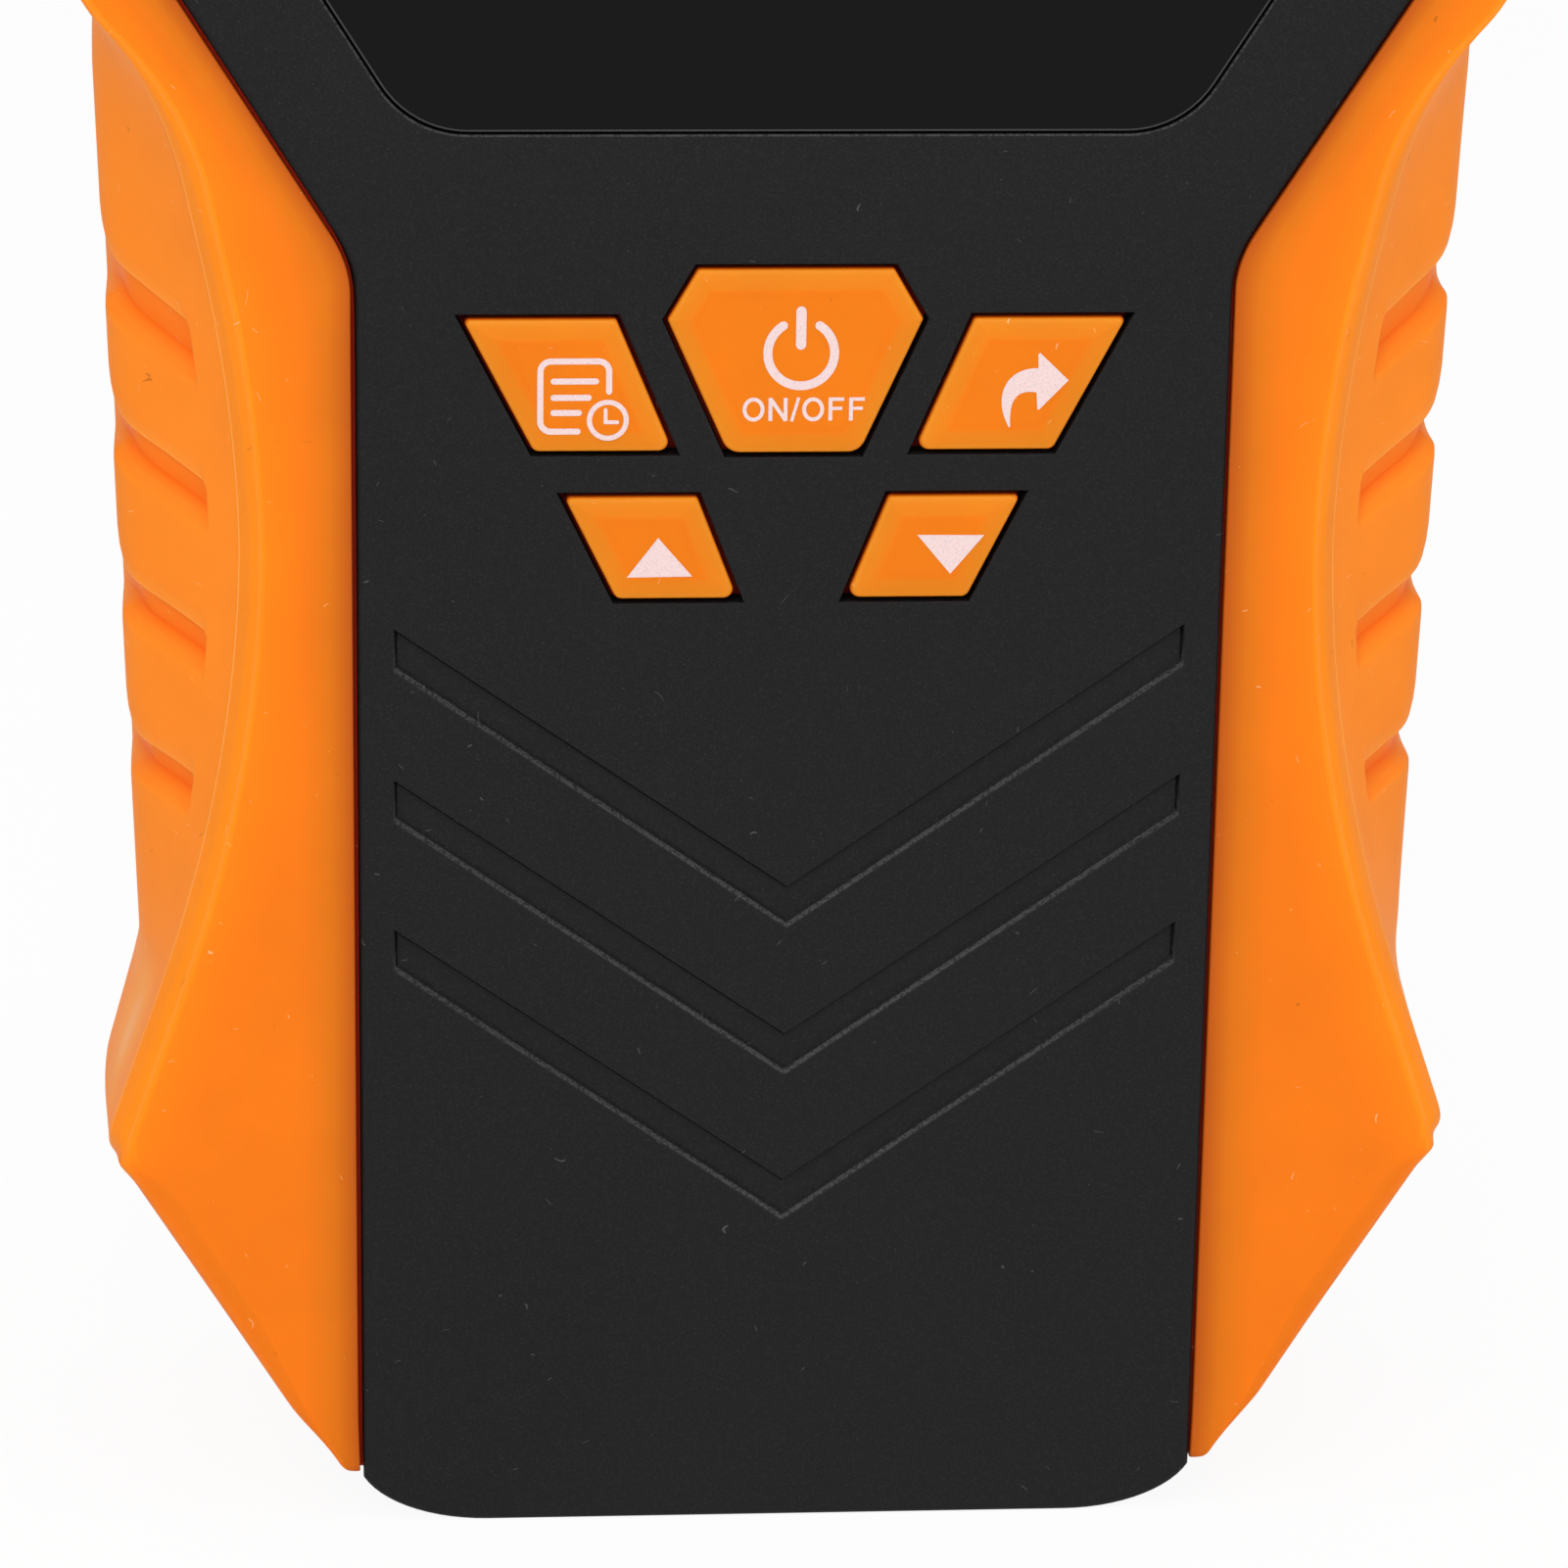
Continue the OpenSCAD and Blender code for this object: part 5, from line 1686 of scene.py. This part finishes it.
    def rear(self, z: np.ndarray, t: np.ndarray) -> np.ndarray:
        """Columns behind the widest line: the width is drawn in by 0.7 times 1 - sqrt(1 - v to the 2.6).

        Args:
            z: heights of the rows.
            t: positions along the roll, 0 at the widest line and 1 at the rear face.

        Returns:
            Points as rows, columns, (x, depth, height).
        """
        inset = self.shrink(z)[:, None]
        v = 1 - (1 - t) ** 1.7
        rear_d = self.case.body_t - 0.1 - inset
        first = self.widest(z)[:, None]
        depth = first + (rear_d - first) * v
        side, panel = self.side_x(z)[:, None], self.case.panel_x(z)[:, None]
        x = side - inset - (side - panel) * 0.7 * (1 - np.sqrt(1 - v**2.6))
        x = panel + (x - panel) * self.taper(z[:, None], depth) - self.groove_cut(z[:, None], depth)
        return np.stack([x, depth, np.broadcast_to(z[:, None], depth.shape)], axis=2)

    def core(self, z: np.ndarray) -> np.ndarray:
        """Columns back along the stepped core of the case, with the fitting gap.

        Args:
            z: heights of the rows.

        Returns:
            Points as rows, columns, (x, depth, height).
        """
        case, gap = self.case, 0.12
        back_d = case.body_t - case.back_t
        path = [(0.2, case.body_t - 0.05), (0.2, back_d), (0.39, back_d - gap), (0.39, case.rebate_d),
                (0.78, case.rebate_d - gap), (0.78, case.part_d), (0.25, case.part_d - gap),
                (0.25, case.shoulder_d + gap)]
        columns = [np.stack([case.step_x(share, z) + gap, np.full_like(z, depth), z], axis=1)
                   for share, depth in path]
        return np.stack(columns, axis=1)

    def shades(self, z: np.ndarray, grid: np.ndarray, n_front: int) -> np.ndarray:
        """Shade of each point: painted shadow in the gap and beside the panel, painted highlights at ridge,
        pad edge and groove lips, the pad's own orange, and a painted pale reflection on the flare.

        Args:
            z: heights of the rows.
            grid: the section's points.
            n_front: number of columns up to the pad's inner edge.

        Returns:
            Values for the finish's colour ramp.
        """
        x, depth, h = grid[..., 0], grid[..., 1], grid[..., 2]
        away, left = x - self.case.front_x(h), self.ridge(h) - x
        # painted shade beside the panel, lifting across the band to a painted highlight at the ridge
        band = np.interp(away, [self.red_w, 0.9, 1.6, 2.4, 3.6], [0.06, 0.1, 0.17, 0.26, 0.4])
        band += np.interp(left, [0.2, 0.8, 2.4, 4.5], [0.17, 0.13, 0.05, 0.0]) * (1 - 0.8 * self.plain(h))
        # painted dark red shadow on the lip's wall in the gap
        band = np.where((away < self.red_w) & (depth > 0.3), 0.0, band)
        low = self.plain(h)
        # painted highlight lines at the ridge and at the pad's inner edge; darker in the foot
        step = np.full_like(x, 0.66)
        step[:, n_front - 20:n_front - 18] = 0.79
        step[:, n_front - 4:n_front - 2] = 0.9
        step = step - 0.3 * low
        # painted highlight along each groove's upper lip
        lips = self.groove_profile(z[:, None], (0, 0, 0, 0, 0, 0, 0, 0, 0, 0.12, 0.04, 0, 0), 0.0)
        pad = 0.76 + lips * self.groove_gate(depth)
        # painted pale reflection on the flare below the heel; darker in the foot
        flare = 1 - ease(h - 0.3 * (depth - 2), 31.0 - 0.5 * depth, 33.2 + 0.25 * depth)
        flare *= 0.92 * ease(h, 22.0, 28.0) * ease(x - self.pad_x(h), 0.0, 0.4) * (1 - ease(depth, 5, 15))
        pad = pad + (1 - pad) * flare - 0.3 * low * (1 - flare)
        column = np.arange(grid.shape[1])
        behind = np.where(column < n_front, step, pad)
        return np.clip(np.where(column < n_front - self.strip_columns, band, behind), 0, 1)

    def creases(self, z: np.ndarray, grid: np.ndarray) -> np.ndarray:
        """How much painted shade each point gets: most in the crease of a groove, less on its floor.

        Args:
            z: heights of the rows.
            grid: the section's points.

        Returns:
            Shares of the finish's crease colour.
        """
        depths = (0.0, 0.0, 0.0, 0.1, 0.55, 0.9, 0.6, 0.25, 0.2, 0.0, 0.0, 0.0, 0.0)
        return self.groove_profile(z[:, None], depths, 0.0) * self.groove_gate(grid[..., 1])

    def surface(self) -> Surface:
        """The right grip as one closed surface.

        Returns:
            The surface: a grid round the section, closed by a face at each tip.
        """
        z = self.rows()
        spans = ((0.05, 0.2, 6), (0.22, 0.4, 14), (0.43, 1.0, 26))
        u = np.concatenate([np.linspace(*span) for span in spans])
        t = np.linspace(0, 1, 22)[1:]
        front = self.front(z)
        grid = np.concatenate([front, self.pad(z, u), self.rear(z, t), self.core(z)], axis=1)
        grip = Surface()
        grip.grid(grid, self.shades(z, grid, front.shape[1]), self.creases(z, grid))
        n = grid.shape[1]
        for row in (0, -1):
            grip.add(grid[row], np.arange(n)[None, :])
        return grip

    def build(self) -> None:
        """Makes both grips."""
        right = replace(self, lip_gap=self.right_gap).surface()
        right.piece("right_grip_skin", "case", Slot.GRIP, self.finishes.grip, ("right_grip",), sharp=55)
        left = self.surface().mirrored()
        left.piece("left_grip_skin", "case", Slot.GRIP, self.finishes.grip, ("left_grip",), sharp=55)


# ---- the other pieces ----


@dataclass
class BackAndInside:
    """The rear shell and what sits on or behind it, and the pieces inside."""

    finishes: Finishes

    def build(self) -> None:
        """Rounds the edges of what shows and gives every other node its finish."""
        f = self.finishes
        softened("rear_shell", "case", f.shell, 0.35, 3)
        softened("battery_door", "door", f.shell, 0.2)
        softened("glide_pads", "case", f.foam, 0.25, 3)
        softened("case_screws", "case", f.steel, 0.08)
        # the mat's low shade paints it dark red: painted shade in the gaps round the keys
        softened("keypad_mat", "case", f.key, 0.1, shade=0.05)
        by_slot = f.by_slot()
        for part in frame["record"]["subparts"]:
            node = frame["nodes"][part["node"]]
            node.data.materials.clear()
            node.data.materials.append(by_slot[Slot(part["material_slot"])])
            LOG.info("%s: %s", part["node"], part["material_slot"])


# ---- the studio ----


@dataclass
class Studio:
    """Pale floor, soft lights, white surroundings and the camera at the photograph's place."""

    camera_at: tuple[float, float, float] = (-34.90, -422.47, 170.14)
    forward: tuple[float, float, float] = (0.0813, 0.9538, -0.2893)
    up: tuple[float, float, float] = (0.00908, 0.28953, 0.95712)
    lens_mm: float = 164.2
    sensor_mm: float = 36.0
    world_light: float = 0.5
    floor_size: float = 6.0

    def shown_white(self, tree: bpy.types.NodeTree) -> bpy.types.NodeSocket:
        """1 for the rays that show the surroundings: camera, glossy and transmission rays.

        Args:
            tree: the node tree that gets the nodes.

        Returns:
            The value's socket.
        """
        path = tree.nodes.new("ShaderNodeLightPath")
        total = path.outputs["Is Camera Ray"]
        for name in ("Is Glossy Ray", "Is Transmission Ray"):
            join = tree.nodes.new("ShaderNodeMath")
            join.operation = "MAXIMUM"
            tree.links.new(total, join.inputs[0])
            tree.links.new(path.outputs[name], join.inputs[1])
            total = join.outputs[0]
        return total

    def world(self) -> None:
        """Even white light, which the shown rays see at full strength."""
        world = bpy.data.worlds.new("studio")
        bpy.context.scene.world = world
        world.use_nodes = True
        tree = world.node_tree
        back = tree.nodes["Background"]
        back.inputs["Color"].default_value = (1, 1, 1, 1)
        level = tree.nodes.new("ShaderNodeMapRange")
        level.inputs["To Min"].default_value = self.world_light
        level.inputs["To Max"].default_value = 1.0
        tree.links.new(self.shown_white(tree), level.inputs["Value"])
        tree.links.new(level.outputs["Result"], back.inputs["Strength"])

    def floor(self) -> None:
        """A pale floor under the chin that keeps a faint shadow."""
        half = self.floor_size / 2
        mesh = bpy.data.meshes.new("floor")
        corners = [(-half, -half, 0), (half, -half, 0), (half, half, 0), (-half, half, 0)]
        mesh.from_pydata(corners, [], [(0, 1, 2, 3)])
        floor = bpy.data.objects.new("floor", mesh)
        bpy.context.scene.collection.objects.link(floor)
        material = bpy.data.materials.new("pale_floor")
        material.use_nodes = True
        tree = material.node_tree
        tree.nodes.clear()
        diffuse = tree.nodes.new("ShaderNodeBsdfDiffuse")
        diffuse.inputs["Color"].default_value = (0.92, 0.92, 0.92, 1)
        white = tree.nodes.new("ShaderNodeEmission")
        mix = tree.nodes.new("ShaderNodeMixShader")
        share = tree.nodes.new("ShaderNodeMath")
        share.operation = "MULTIPLY"
        share.inputs[1].default_value = 0.93
        tree.links.new(self.shown_white(tree), share.inputs[0])
        tree.links.new(share.outputs[0], mix.inputs[0])
        tree.links.new(diffuse.outputs[0], mix.inputs[1])
        tree.links.new(white.outputs[0], mix.inputs[2])
        output = tree.nodes.new("ShaderNodeOutputMaterial")
        tree.links.new(mix.outputs[0], output.inputs["Surface"])
        mesh.materials.append(material)

    def lamp(self, name: str, at: tuple[float, float, float], size: float, watts: float) -> None:
        """A square soft light that faces the middle of the object.

        Args:
            name: its name.
            at: its place, in metres.
            size: length of its side, in metres.
            watts: its power.
        """
        light = bpy.data.lights.new(name, "AREA")
        light.size = size
        light.energy = watts
        lamp = bpy.data.objects.new(name, light)
        lamp.location = at
        lamp.rotation_euler = (Vector((0, 0, 0.07)) - Vector(at)).to_track_quat("-Z", "Y").to_euler()
        bpy.context.scene.collection.objects.link(lamp)

    def camera(self) -> None:
        """The camera, looking along its forward direction."""
        data = bpy.data.cameras.new("camera")
        data.lens = self.lens_mm
        data.sensor_width = self.sensor_mm
        camera = bpy.data.objects.new("camera", data)
        forward = Vector(self.forward).normalized()
        right = forward.cross(Vector(self.up)).normalized()
        up = right.cross(forward)
        turn = Matrix((right, up, -forward)).transposed()
        camera.matrix_world = Matrix.Translation(Vector(self.camera_at) * MM) @ turn.to_4x4()
        bpy.context.scene.collection.objects.link(camera)
        bpy.context.scene.camera = camera

    def build(self) -> None:
        """Sets up the whole studio."""
        bpy.context.scene.view_settings.view_transform = "Standard"
        self.world()
        self.floor()
        self.lamp("key_light", (-0.25, -0.75, 0.62), 0.6, 4.1)
        self.lamp("top_light", (0.0, -0.12, 1.0), 0.5, 2.4)
        self.lamp("fill_light", (0.5, -0.6, 0.35), 0.6, 1.3)
        self.camera()


def main() -> None:
    """Builds the stud finder's looks and the studio."""
    logging.basicConfig(level=logging.INFO, format="%(name)s: %(message)s")
    case = CaseShape()
    finishes = Finishes()
    Studio().build()
    BackAndInside(finishes).build()
    FrontCover(case, finishes).build()
    Lens(case, finishes).build()
    SideGrips(case, finishes).build()
    Keypad(finishes).build()


if __name__ == "__main__":
    main()
